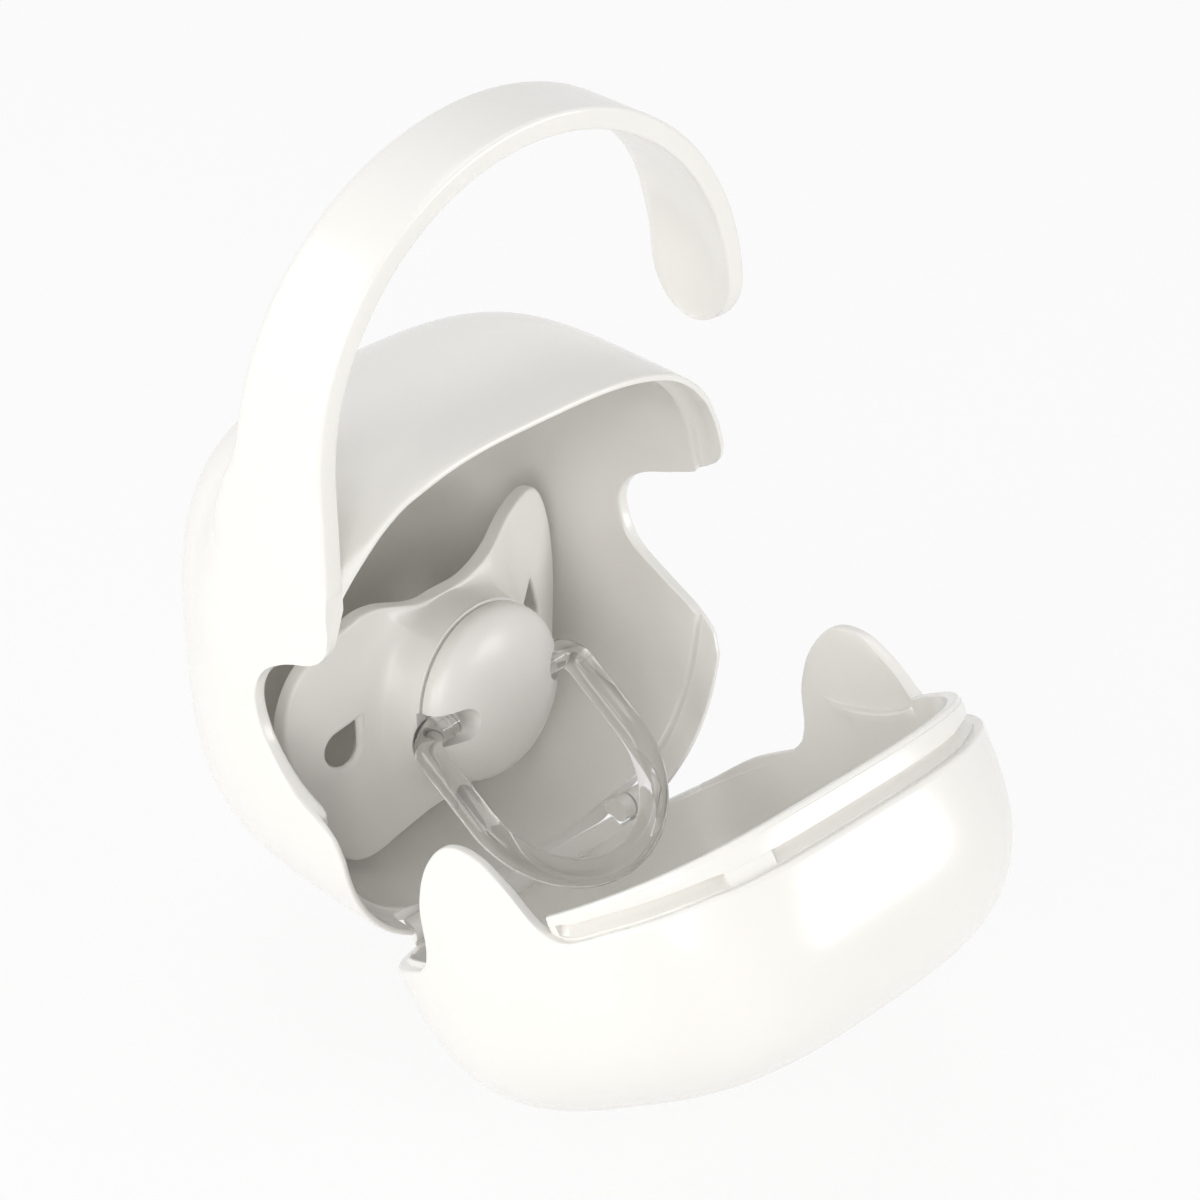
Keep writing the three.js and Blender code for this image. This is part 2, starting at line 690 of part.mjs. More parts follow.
// Ring: a round clear rod bent to a D, its two ends turned in to the button.
function ringSolid() {
  const path = new THREE.CurvePath();
  const arcTop = ringReach - ringHalf;
  const corner = (cx, cz, from, to) => {
    const curve = new THREE.EllipseCurve(cx, cz, ringCorner, ringCorner, from, to, true);
    return new THREE.CatmullRomCurve3(curve.getPoints(6).map((p) => new THREE.Vector3(p.x, 0, p.y)));
  };
  const point = (x, z) => new THREE.Vector3(x, 0, z);
  const bow = new THREE.EllipseCurve(0, -arcTop, ringHalf, ringHalf, 0, -Math.PI, true);
  path.add(new THREE.LineCurve3(point(ringInside, 0), point(ringHalf - ringCorner, 0)));
  path.add(corner(ringHalf - ringCorner, -ringCorner, Math.PI / 2, 0));
  path.add(new THREE.LineCurve3(point(ringHalf, -ringCorner), point(ringHalf, -arcTop)));
  path.add(new THREE.CatmullRomCurve3(bow.getPoints(24).map((p) => point(p.x, p.y))));
  path.add(new THREE.LineCurve3(point(-ringHalf, -arcTop), point(-ringHalf, -ringCorner)));
  path.add(corner(ringCorner - ringHalf, -ringCorner, Math.PI, Math.PI / 2));
  path.add(new THREE.LineCurve3(point(ringCorner - ringHalf, 0), point(-ringInside, 0)));
  const steps = 2 * roundSegments - roundSegments / 4;
  const centres = path.getSpacedPoints(steps);
  const sides = roundSegments / 2 - roundSegments / 8 - 1;
  const loops = centres.map((p, i) => {
    const before = centres[Math.max(i - 1, 0)];
    const after = centres[Math.min(i + 1, steps)];
    const along = after.clone().sub(before).normalize();
    const outward = new THREE.Vector3(along.z, 0, -along.x);
    const loop = [];
    for (let j = 0; j < sides; j++) {
      const angle = (2 * Math.PI * j) / sides;
      const off = ringTube * Math.cos(angle);
      loop.push([p.x + outward.x * off, ringTube * Math.sin(angle), p.z + outward.z * off]);
    }
    return loop;
  });
  return loftSolid(loops, [ringInside, 0, 0], [-ringInside, 0, 0]);
}
const ringPivot = new THREE.Group();
ringPivot.position.set(0, -pivotFront, 0);
ringPivot.rotation.x = THREE.MathUtils.degToRad(leanDegrees - (90 - ringDropDegrees));
pacifier.add(ringPivot);
meshOf("pacifier_ring", ringSolid(), clearPlastic, ringPivot);

// Teat: a hollow silicone bulb behind the shield, its flange held in front of it.
function teatSolid() {
  const v = (x, y) => new THREE.Vector2(x, y);
  const flangeBack = shieldThickness / 2 + gap;
  const bulbShares = [0, 0.25, 0.5, 0.7, 0.87, 1];
  const bulb = (inset) =>
    bulbShares.map((share) => {
      const angle = Math.PI * (1 - 1 / 4 - (share * 3) / 4);
      const radius = (teatBulb - inset) * Math.sin(angle);
      return v(share === 1 ? 0 : radius, -teatLength + teatBulb + (teatBulb - inset) * -Math.cos(angle));
    });
  const outer = [
    v(0, flangeBack + flangeThickness),
    v(flangeRadius, flangeBack + flangeThickness),
    v(flangeRadius, flangeBack),
    v(neckRadius, flangeBack),
    v(neckRadius, -flangeBack),
    v(teatNeck, -flangeBack - gap - gap),
    ...bulb(0).map((p) => v(p.x, p.y)),
  ];
  const inner = [
    v(0, flangeBack + flangeThickness + gap),
    v(teatBore, flangeBack + flangeThickness + gap),
    v(teatBore, -flangeBack - gap),
    v(teatNeck - teatWall, -flangeBack - gap - gap),
    ...bulb(teatWall).map((p) => v(p.x, p.y)),
  ];
  return turnedSolid(outer).subtract(turnedSolid(inner));
}
meshOf("pacifier_teat", teatSolid(), silicone, pacifier);

// Plug: the inner disc and post that hold the teat to the shield.
function plugSolid() {
  const front = shieldThickness / 2 + gap + flangeThickness + gap;
  const disc = barAlongY(plugRadius, -front - plugDisc, -front);
  return disc.add(barAlongY(plugPost, -front - plugDisc / 2, plugReach - front));
}
meshOf("pacifier_plug", plugSolid(), sandMatte, pacifier);

export default root;
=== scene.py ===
"""Pacifier case, open, with its carrying hook, hinged lid and the pacifier in it.

Metres, in the frame of the CAD: X across the case, Y to the back, Z up, the origin on the flat foot.
"""

import math

import bmesh
import bpy
import numpy as np
from bpy.props import FloatProperty, FloatVectorProperty, IntProperty, PointerProperty
from mathutils import Matrix, Vector


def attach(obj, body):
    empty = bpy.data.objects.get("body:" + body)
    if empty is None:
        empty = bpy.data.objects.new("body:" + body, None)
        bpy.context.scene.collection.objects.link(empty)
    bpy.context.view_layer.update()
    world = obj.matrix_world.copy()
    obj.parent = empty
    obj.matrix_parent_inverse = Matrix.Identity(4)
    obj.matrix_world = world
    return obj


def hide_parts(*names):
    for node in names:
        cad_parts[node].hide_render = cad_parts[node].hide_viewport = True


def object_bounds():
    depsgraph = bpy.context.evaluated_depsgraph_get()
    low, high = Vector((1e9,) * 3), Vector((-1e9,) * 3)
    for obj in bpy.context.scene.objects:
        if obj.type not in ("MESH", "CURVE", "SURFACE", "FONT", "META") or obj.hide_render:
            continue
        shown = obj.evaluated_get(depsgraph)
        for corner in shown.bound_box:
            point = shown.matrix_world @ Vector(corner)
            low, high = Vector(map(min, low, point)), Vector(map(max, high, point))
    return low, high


bl_info = {
    "name": "Pacifier Case",
    "version": (1, 0, 0),
    "blender": (4, 5, 0),
    "location": "View3D > Sidebar > Pacifier Case",
    "description": "Builds an open pacifier case with its hook, lid and pacifier",
    "category": "Add Mesh",
}

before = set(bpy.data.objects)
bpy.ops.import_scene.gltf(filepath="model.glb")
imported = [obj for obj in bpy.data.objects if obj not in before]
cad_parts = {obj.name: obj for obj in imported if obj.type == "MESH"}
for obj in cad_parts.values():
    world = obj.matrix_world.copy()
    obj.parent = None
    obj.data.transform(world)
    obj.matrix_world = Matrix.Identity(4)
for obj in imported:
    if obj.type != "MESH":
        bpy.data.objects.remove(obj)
cad_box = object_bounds()

# Side outlines, as shares of the reach to the back and of half the height, from top to bottom.
PARTING_SHARES = (
    (-0.233, 2.26), (-0.233, 1.1), (-0.214, 0.887), (-0.194, 0.645), (-0.181, 0.465),
    (-0.104, 0.377), (0.049, 0.31), (0.175, 0.219), (0.23, 0.084), (0.181, -0.074),
    (0.058, -0.213), (-0.1, -0.303), (-0.168, -0.406), (-0.175, -0.645), (-0.175, -2.26),
)
RIGHT_REAR_SHARES = (
    *PARTING_SHARES[:5],
    (-0.104, 0.377), (0.058, 0.297), (0.23, 0.219), (0.327, 0.12), (0.343, 0.01),
    (0.275, -0.119), (0.1, -0.213), (-0.065, -0.29), (-0.155, -0.39),
    *PARTING_SHARES[-2:],
)
EAR_LEDGE_SHARES = (
    (-0.122, 0.4), (-0.13, 0.268), (-0.112, 0.129), (-0.066, -0.01), (-0.01, -0.106),
)

# Back edge of the hook: place along the band, and how far back, as shares.
HOOK_BACK_SHARES = (
    (0, 1), (0.135, 0.978), (0.182, 0.859), (0.214, 0.689), (0.246, 0.585), (0.301, 0.511),
    (0.412, 0.415), (0.539, 0.348), (0.666, 0.341), (0.793, 0.385), (0.856, 0.459),
    (0.904, 0.511), (1.03, 0.519),
)

# The shield's outline, from top to bottom on the right and up again on the left, as shares of its reach.
SHIELD_SHARES = (
    (0, 0.455), (0.204, 0.455), (0.371, 0.497), (0.517, 0.552), (0.642, 0.585), (0.775, 0.6),
    (0.888, 0.576), (0.967, 0.496), (1.02, 0.354), (1.035, 0.2), (1.022, 0.042), (0.979, -0.121),
    (0.929, -0.283), (0.888, -0.43), (0.83, -0.58), (0.725, -0.671), (0.6, -0.683), (0.483, -0.671),
    (0.338, -0.65), (0.204, -0.625), (0, -0.621), (-0.204, -0.625), (-0.338, -0.65), (-0.483, -0.671),
    (-0.6, -0.683), (-0.725, -0.668), (-0.815, -0.58), (-0.875, -0.435), (-0.92, -0.286),
    (-0.96, -0.13), (-0.99, -0.02), (-1.003, 0.104), (-0.98, 0.235), (-0.91, 0.368), (-0.817, 0.455),
    (-0.667, 0.528), (-0.54, 0.557), (-0.467, 0.56), (-0.358, 0.54), (-0.15, 0.468),
)

QUARTER = math.pi / 2
TURN = 2 * math.pi
WHITE = (1, 1, 1, 1)

# How finely the exact curves are followed before even points are picked from them.
FORM_STEPS = 6001
SECTION_STEPS = 24001
LIP_STEPS = 4800

# Above one, the rows of faces lie closer together near the rim than near the pole.
ROW_SPREAD = 1.12

# How far past its foot the boss of the shield still runs out.
FLARE_PAST = 0.002


def length(name, description, default):
    """A size in metres that a user may change."""
    return FloatProperty(name=name, description=description, default=default, unit="LENGTH", precision=5)


def angle(name, description, degrees):
    return FloatProperty(name=name, description=description, default=math.radians(degrees), subtype="ANGLE")


def number(name, description, default):
    return FloatProperty(name=name, description=description, default=default)


def colour(name, description, default):
    return FloatVectorProperty(
        name=name, description=description, default=default, size=3, subtype="COLOR", min=0, max=1
    )


class CaseSizes(bpy.types.PropertyGroup):
    """Sizes of the two shells and their hinge."""

    half_width: length("Half width", "Middle of the case to its side", 0.030)
    half_height: length("Half height", "Middle of the case to its top", 0.031)
    front_reach: length("Front reach", "Widest section to the front of the lid", 0.0295)
    back_reach: length("Back reach", "Widest section to the back", 0.0309)
    section_power: number("Section power", "Squareness seen from the front", 3.18)
    depth_power: number("Depth power", "Squareness seen from the side", 3.65)
    wall: length("Wall", "Thickness of both shells", 0.0016)
    foot_trim: length("Foot trim", "How much of the round underside is flat", 0.0006)
    foot_centre: length("Foot centre", "Middle of the foot behind the widest section", 0.0065)
    gap: length("Gap", "Free space between neighbours", 0.0003)
    rebate_depth: length("Rebate depth", "Wall left at the rim of the rear shell", 0.0007)
    rebate_reach: length("Rebate reach", "How far the rebate goes in", 0.0052)
    lip_proud: length("Lip height", "How far the lip stands out of the lid", 0.0043)
    lip_outer: length("Lip outside", "Outside of the case to the lip", 0.001)
    lip_inner: length("Lip inside", "Outside of the case to the inner face of the lip", 0.0023)
    window_cut: length("Window depth", "How deep the lip's long windows go in at their upper edge", 0.0011)
    window_height: length("Window height", "Parting line to the upper edge of the windows", 0.00155)
    side_lip_proud: length("Side lip height", "How far the two side lips stand out", 0.0006)
    hinge_lip_proud: length("Hinge lip height", "How far the lip between the hinges stands out", 0.0012)
    hinge_behind: length("Hinge behind", "Parting line to the hinge axis", 0.0016)
    hinge_above: length("Hinge above", "Underside to the hinge axis", 0.0025)
    barrel_radius: length("Barrel radius", "Radius of the hinge's knuckles", 0.0015)
    rear_knuckle_near: length("Rear knuckle start", "Middle of the case to a rear knuckle", 0.0134)
    rear_knuckle_far: length("Rear knuckle end", "Middle of the case to its outer end", 0.015)
    lid_knuckle_far: length("Lid knuckle end", "Middle of the case to the outer end of the hinge", 0.0194)
    knuckle_clear: length("Knuckle room", "Radius of the lid's room for a rear knuckle", 0.00185)
    sweep_radius: length("Hinge room", "Radius of the room round the hinge", 0.0025)
    sweep_half: length("Hinge room half", "Middle of the case to the end of that room", 0.0198)
    open_angle: angle("Lid angle", "How far the lid is open", 54)
    columns: IntProperty(name="Columns", description="Columns of faces round a shell", default=360)
    rows: IntProperty(name="Rows", description="Rows of faces from rim to pole", default=88)


class HookSizes(bpy.types.PropertyGroup):
    """Sizes of the carrying hook."""

    thickness: length("Thickness", "Thickness of the band", 0.0025)
    radius: length("Radius", "Radius of the arch at mid thickness", 0.0294)
    sink: length("Sink", "How far the band lies inside the wall's face", 0.00005)
    rise: length("Rise", "Top of the case to the centre of the arch", 0.0024)
    start_share: number("Start", "Foot of the band as a share of half height", 0.13)
    end_angle: angle("End angle", "Where the arch ends, from level", -8.5)
    set_back: length("Set back", "Parting line to the front face", 0.0012)
    base_back: length("Base depth", "Back edge at the foot of the band", 0.0135)
    tip_round: length("Tip round", "Length of the rounded end", 0.0066)
    tip_dish: length("Tip dish", "Depth of the dished tip", 0.0013)
    dish_length: length("Dish length", "Length of the dished part", 0.022)
    front_ease: length("Front edge", "Rounding of the two front edges", 0.00045)
    back_share: number("Back rounding", "Share of half the width", 0.36)
    lead_start: length("Lead-in start", "Foot of the band to where its own thickness starts", 0.008)
    lead_in: length("Lead-in", "Length over which the band grows to its full thickness", 0.0065)
    sink_length: length("Sink length", "Length over which the band comes out of the wall", 0.0155)
    sink_depth: length("Sink depth", "How deep the band would start in the wall", 0.0012)
    blend: length("Root blend", "Width of the soft joint between band and wall", 0.006)


class PacifierSizes(bpy.types.PropertyGroup):
    """Sizes of the pacifier."""

    room: length("Room behind", "Back of the case to the shield", 0.0203)
    rest: length("Rest height", "Underside of the case to the middle of the shield", 0.0211)
    lean: angle("Lean", "How far it leans back", 6)
    turn: angle("Turn", "How far it is turned about the upright", 5)
    wing_reach: length("Wing reach", "Middle of the shield to the tip of a wing", 0.024)
    wing_back: length("Wing back", "How far the tips curve back", 0.004)
    wing_turn: angle("Wing turn", "How much more the wings turn than the button", 4)
    plate: length("Plate", "Thickness of the shield", 0.002)
    boss_foot: length("Boss foot", "Radius where the boss meets the plate", 0.0134)
    boss_height: length("Boss height", "Plate to the top of the boss", 0.0061)
    boss_rim: length("Boss rim", "How far the boss stands out round the button", 0.00022)
    boss_room: length("Boss room", "Radius inside the boss", 0.0092)
    shield_hole: length("Shield hole", "Radius of the hole for the teat", 0.0054)
    vent_x: length("Vent place", "Middle of the shield to a vent", 0.017)
    left_vent_radius: length("Left vent radius", "Radius of the left vent's round end", 0.00225)
    left_vent_point: length("Left vent point", "Centre of its round end to its point", 0.0038)
    right_vent_radius: length("Right vent radius", "Radius of the right vent's round end", 0.0021)
    right_vent_point: length("Right vent point", "Centre of its round end to its point", 0.0046)
    vent_edge: length("Vent edge", "Rounding of a vent's edges", 0.0006)
    left_vent_flare: number("Left vent flare", "Edges by which the left vent widens behind", 1.9)
    left_vent_drop: length("Left vent drop", "Middle of the shield down to the left vent", 0.0013)
    right_vent_drop: length("Right vent drop", "Middle of the shield down to the right vent", 0.0009)
    left_vent_lean: angle("Left vent lean", "How far the left vent's point leans to the right", 42)
    right_vent_lean: angle("Right vent lean", "How far the right vent's point leans to the right", 15)
    button_radius: length("Button radius", "Radius of the button", 0.0105)
    button_side: length("Button side", "Plate to the start of the dome", 0.007)
    button_height: length("Button height", "Plate to the top of the dome", 0.0108)
    button_base: length("Button base", "Plate to the foot of the button", 0.0064)
    button_power: number("Dome power", "Fullness of the dome", 2.2)
    pivot_front: length("Pivot", "Plate to the ring's axis", 0.0078)
    pivot_hole: length("Pivot hole", "Radius of the room for the ring", 0.002)
    left_slot_near: length("Left slot", "Middle of the button to the inner end of the left slot", 0.0052)
    right_slot_near: length("Right slot", "Middle of the button to the inner end of the right slot", 0.007)
    ring_tube: length("Ring rod", "Radius of the ring's rod", 0.0017)
    ring_inside: length("Ring end", "Middle to the ring's end", 0.0074)
    ring_half: length("Ring half width", "Middle to the ring's side", 0.0125)
    ring_corner: length("Ring corner", "Radius of its two bends", 0.0024)
    ring_reach: length("Ring reach", "Pivot to the far end", 0.0238)
    ring_drop: angle("Ring drop", "How far below level the ring hangs", 37)
    flange_radius: length("Flange radius", "Radius of the teat's flange", 0.0074)
    flange: length("Flange", "Thickness of the flange", 0.0012)
    neck_radius: length("Neck radius", "Radius of the teat in the shield", 0.005)
    teat_bore: length("Teat bore", "Radius of its mouth", 0.0034)
    teat_neck: length("Teat neck", "Radius behind the shield", 0.0043)
    teat_bulb: length("Teat bulb", "Radius of the bulb", 0.0052)
    teat_length: length("Teat length", "Shield to the tip", 0.0162)
    teat_wall: length("Teat wall", "Thickness of the silicone", 0.0012)
    plug_radius: length("Plug radius", "Radius of the inner disc", 0.0064)
    plug_disc: length("Plug disc", "Thickness of the inner disc", 0.0011)
    plug_post: length("Plug post", "Radius of the post", 0.003)
    plug_reach: length("Plug reach", "How far the post goes in", 0.0032)


class FinishColours(bpy.types.PropertyGroup):
    """Colours of the mouldings."""

    shell: colour("Shell", "Warm white gloss of the case", (0.885, 0.872, 0.842))
    shield: colour("Shield", "Warm light grey satin of the pacifier", (0.84, 0.825, 0.8))
    clear: colour("Ring", "Clear plastic of the ring", (0.8, 0.79, 0.775))
    silicone: colour("Teat", "Silicone of the teat", (0.86, 0.82, 0.76))
    steel: colour("Pins", "Steel of the hinge pins", (0.58, 0.58, 0.59))
    floor: colour("Floor", "Pale floor", (0.86, 0.86, 0.855))


class StageSettings(bpy.types.PropertyGroup):
    """Camera and lamps."""

    camera_azimuth: angle("Azimuth", "Camera to the left of straight ahead", -43.97)
    camera_elevation: angle("Elevation", "Camera above level", 32.26)
    camera_roll: angle("Roll", "Turn of the picture", -0.54)
    camera_distance: length("Distance", "Camera to its target", 0.368)
    target: FloatVectorProperty(
        name="Target",
        description="Point in the middle of the picture",
        default=(0.00909, -0.01216, 0.03384),
        unit="LENGTH",
    )
    lens: number("Lens", "Focal length in millimetres", 99.23)
    key_power: number("Key", "Power of the main lamp in watts", 2.25)
    side_power: number("Side", "Power of the lamp on the left in watts", 2.1)
    fill_power: number("Fill", "Power of the fill lamp in watts", 2.6)
    top_power: number("Top", "Power of the top lamp in watts", 1.7)
    back_power: number("Back", "Power of the lamp behind on the left in watts", 0.95)
    ambient: number("Ambient", "Strength of the light from all round", 0.36)
    floor_glow: number("Floor white", "How white the floor is seen", 0.88)


def sizes():
    return bpy.context.scene.case_sizes


def hook_sizes():
    return bpy.context.scene.hook_sizes


def pacifier_sizes():
    return bpy.context.scene.pacifier_sizes


def case_place():
    """From the frame of the case's centre to that of the whole object."""
    case = sizes()
    return Matrix.Translation((0, -case.foot_centre, case.half_height - case.foot_trim))


def hinge_axis():
    """Depth and height of the hinge, from the centre of the case."""
    case = sizes()
    return PARTING_SHARES[-1][0] * case.back_reach + case.hinge_behind, case.hinge_above - case.half_height


# Curves and meshes


def sweep(start, span, steps):
    """Angles that go from the start through the span in even steps, both ends kept."""
    return [start + span * i / steps for i in range(steps + 1)]


def eased(value, low, high):
    """Zero below the low value, one above the high one, and a soft step between."""
    share = np.clip((value - low) / (high - low), 0, 1)
    return share * share * (3 - 2 * share)


def spline_through(points, steps):
    """Points on a smooth line through the given ones, ends kept."""
    points = np.array(points, float)
    last = len(points) - 1
    made = []
    for i in range(last):
        before, start = points[max(i - 1, 0)], points[i]
        end, after = points[i + 1], points[min(i + 2, last)]
        leave, arrive = (end - before) / 2, (after - start) / 2
        for t in np.arange(steps) / steps:
            made.append(
                (2 * start - 2 * end + leave + arrive) * t**3
                + (3 * end - 3 * start - 2 * leave - arrive) * t**2
                + leave * t
                + start
            )
    made.append(points[last])
    return np.array(made)


def new_object(name, mesh):
    piece = bpy.data.objects.new(name, mesh)
    bpy.context.collection.objects.link(piece)
    return piece


def object_from_bmesh(name, shape):
    """Ends a bmesh as an object with its faces out."""
    same_point = 1e-7
    bmesh.ops.remove_doubles(shape, verts=shape.verts, dist=same_point)
    bmesh.ops.dissolve_degenerate(shape, edges=shape.edges, dist=same_point)
    bmesh.ops.recalc_face_normals(shape, faces=shape.faces)
    mesh = bpy.data.meshes.new(name)
    shape.to_mesh(mesh)
    shape.free()
    return new_object(name, mesh)


def loft(name, rows, start="none", end="none", ring=False):
    """Skin over rows that are closed loops. An end is none, point or face, and ring joins last to first."""
    shape = bmesh.new()
    made = [[shape.verts.new(point) for point in row] for row in rows]
    pairs = list(zip(made, made[1:]))
    if ring:
        pairs.append((made[-1], made[0]))
    for near, far in pairs:
        for i in range(len(near)):
            k = (i + 1) % len(near)
            shape.faces.new((near[i], near[k], far[k], far[i]))
    for kind, row in ((start, made[0]), (end, made[-1])):
        if kind == "face":
            shape.faces.new(row)
        elif kind == "point":
            middle = shape.verts.new(sum((v.co for v in row), Vector()) / len(row))
            for i in range(len(row)):
                shape.faces.new((row[i], row[(i + 1) % len(row)], middle))
    return object_from_bmesh(name, shape)


def bake_modifiers(piece):
    """Keeps the piece's mesh as its modifiers leave it, and removes them."""
    graph = bpy.context.evaluated_depsgraph_get()
    graph.update()
    mesh = bpy.data.meshes.new_from_object(piece.evaluated_get(graph))
    piece.modifiers.clear()
    piece.data = mesh
    mesh.name = piece.name


def cut(piece, other, operation="DIFFERENCE"):
    """Cuts the other solid out of the piece, or keeps only what lies in it, and removes the other."""
    change = piece.modifiers.new(operation.title(), "BOOLEAN")
    change.operation = operation
    change.object = other
    change.solver = "EXACT"
    bake_modifiers(piece)
    bpy.data.objects.remove(other)


def gather(piece, *others):
    """Puts the other meshes into the piece without changing them."""
    shape = bmesh.new()
    for part in (piece, *others):
        shape.from_mesh(part.data)
    shape.to_mesh(piece.data)
    shape.free()
    for part in others:
        bpy.data.objects.remove(part)


def place(piece, matrix):
    """Moves the mesh itself, so the object stays at the origin."""
    piece.data.transform(matrix)


def finish(piece, material, body, *nodes, sharp=34):
    """Shading, material, body and the CAD nodes that the piece stands for."""
    mesh = piece.data
    mesh.materials.clear()
    mesh.materials.append(material)
    mesh.polygons.foreach_set("use_smooth", [True] * len(mesh.polygons))
    mesh.set_sharp_from_angle(angle=math.radians(sharp))
    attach(piece, body)
    if nodes:
        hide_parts(*nodes)


def bar_along_x(name, radius, half, depth, height, centre_x=0.0):
    """A round bar along X with closed ends."""
    turn = sweep(0, TURN, 96)[:-1]
    rows = [
        [(x, depth + radius * math.cos(a), height + radius * math.sin(a)) for a in turn]
        for x in (centre_x - half, centre_x + half)
    ]
    return loft(name, rows, "face", "face")


def turned(name, profile, steps=128):
    """A solid turned about Y: the profile holds radius and distance towards the front."""
    turn = sweep(0, TURN, steps)[:-1]
    rows = [[(r * math.cos(a), -front, r * math.sin(a)) for a in turn] for r, front in profile if r > 0]
    start, end = ("point" if profile[i][0] <= 0 else "none" for i in (0, -1))
    return loft(name, rows, start, end, ring=start == "none")


# The case


class RoundedBody:
    """The rounded box that both shells follow, drawn in by an inset, in the frame of its centre."""

    def __init__(self, inset=0.0):
        case = sizes()
        self.width = case.half_width - inset
        self.height = case.half_height - inset
        self.front = case.front_reach - inset
        self.back = case.back_reach - inset
        self.power = case.depth_power
        turn = np.linspace(-QUARTER, QUARTER, FORM_STEPS)
        bend = 2 / self.power
        reach = np.where(turn < 0, self.front, self.back)
        self.depths = reach * np.sign(turn) * np.abs(np.sin(turn)) ** bend
        span = self.height * np.clip(np.cos(turn), 0, 1) ** bend
        self.lengths = np.concatenate(([0], np.cumsum(np.hypot(np.diff(self.depths), np.diff(span)))))

    def share(self, depth):
        """Size of the section at a depth, as a share of the full one."""
        reach = np.where(depth < 0, self.front, self.back)
        return np.clip(1 - np.abs(depth / reach) ** self.power, 0, 1) ** (1 / self.power)

    def place(self, section, depth, inset=0.0):
        """Points of the section at a depth. They may be drawn in once more, by an inset of their own."""
        depth = depth + 0 * section[0]
        share = self.share(depth)
        width, height = self.width - inset, self.height - inset
        return np.stack((width * share * section[0], depth, height * share * section[1]), axis=-1)

    def along(self, depth):
        """Length along the form's side outline from the front pole to a depth."""
        return np.interp(depth, self.depths, self.lengths)

    def depth_at(self, along):
        return np.interp(along, self.lengths, self.depths)


def section_points(count):
    """Unit points round the case's section, evenly spaced, as two arrays."""
    case = sizes()
    turn = np.linspace(0, TURN, SECTION_STEPS)
    bend = 2 / case.section_power
    x = np.sign(np.cos(turn)) * np.abs(np.cos(turn)) ** bend
    z = np.sign(np.sin(turn)) * np.abs(np.sin(turn)) ** bend
    steps = np.hypot(case.half_width * np.diff(x), case.half_height * np.diff(z))
    way = np.concatenate(([0], np.cumsum(steps)))
    even = np.linspace(0, way[-1], count, endpoint=False)
    return np.stack((np.interp(even, way, x), np.interp(even, way, z)))


class SideLine:
    """A line seen from the side: its depth at each height."""

    def __init__(self, shares, steps=24):
        case = sizes()
        points = spline_through([(y * case.back_reach, z * case.half_height) for y, z in shares], steps)
        order = np.argsort(points[:, 1])
        self.heights = points[order, 1]
        self.depths = points[order, 0]
        self.slopes = np.gradient(self.depths, self.heights)

    def depth(self, height, offset=0.0):
        slope = np.interp(height, self.heights, self.slopes)
        return np.interp(height, self.heights, self.depths) + offset * np.sqrt(1 + slope**2)


def rim_depth(body, section, lines, offset, rounds=40):
    """Where each column of the form meets its line, moved back by the offset. Each round comes closer."""
    depth = np.full(section.shape[1], lines[0].depths[-1])
    for _ in range(rounds):
        height = body.height * body.share(depth) * section[1]
        left, right = (line.depth(height, offset) for line in lines)
        depth = (depth + np.where(section[0] > 0, right, left)) / 2
    return depth


def rows_to_pole(body, section, rim, pole, count):
    """Rows of points on the form from the rim towards a pole, without the pole itself."""
    near, far = body.along(rim), body.along(pole)
    shares = [(k / count) ** ROW_SPREAD for k in range(count)]
    return [body.place(section, body.depth_at(near + (far - near) * share)) for share in shares]


def flattened(rows, floor):
    """Rows with everything below the foot's height brought up to it."""
    flat = [np.array(row) for row in rows]
    for row in flat:
        row[:, 2] = np.maximum(row[:, 2], floor)
    return flat


def edge_rows(section, corners):
    """Rows for a rim: each corner gives its inset and its depths."""
    return [RoundedBody(inset).place(section, depth) for inset, depth in corners]


def add_shell(name, lines, offset, pole_sign, inner_rows, spread=np.array):
    """A thin shell from one pole to the rim, round its edge and back along the inside."""
    case = sizes()
    rim_clear, edge_radius = 0.0006, 0.00035
    section = section_points(case.columns)
    outer = RoundedBody()
    rim = rim_depth(outer, section, lines, offset)
    pole = outer.back if pole_sign > 0 else -outer.front
    outside = rows_to_pole(outer, section, rim + pole_sign * rim_clear, pole, case.rows)
    outside = flattened(outside, case.foot_trim - case.half_height)[::-1]
    edge = edge_rows(section, soft_edge(rim, pole_sign, edge_radius))
    return loft(name, [spread(row) for row in outside + edge] + inner_rows(section, rim), "point", "point")


def soft_edge(rim, sign, radius):
    """Corners of the outer edge, rounded, from the outside to the rim's face."""
    return [
        (radius * (1 - math.cos(turn)), rim + sign * radius * (1 - math.sin(turn)))
        for turn in sweep(0, QUARTER, 4)[1:]
    ]


def rear_inner_rows(section, rim):
    """Rim face, rebate, its step and the inner wall of the rear shell."""
    case = sizes()
    depth, ease = case.rebate_depth, 0.0002
    plane = PARTING_SHARES[0][0] * case.back_reach + case.rebate_reach
    step = np.maximum(rim, plane)
    fade = np.clip((plane - rim) / (4 * ease), 0, 1)
    corners = [
        (depth - ease, rim),
        (depth - ease * 0.3, rim + 0.3 * ease * fade),
        (depth, rim + ease * fade),
        (depth, rim + (step - rim) * 0.5),
        (depth, np.maximum(step - ease * fade, rim)),
        (depth + ease * 0.3, step - ease * 0.3 * fade),
        (depth + ease, step),
        (case.wall - 0.0003, step),
        (case.wall - 0.00012, step + 0.0001),
        (case.wall, step + 0.0003),
    ]
    inner = RoundedBody(case.wall)
    rows = [spread_to_band(row, inset) for row, (inset, _) in zip(edge_rows(section, corners), corners)]
    deep = rows_to_pole(inner, section, step + 0.0007, inner.back, case.rows)
    return rows + [spread_to_band(row, case.wall) for row in deep]


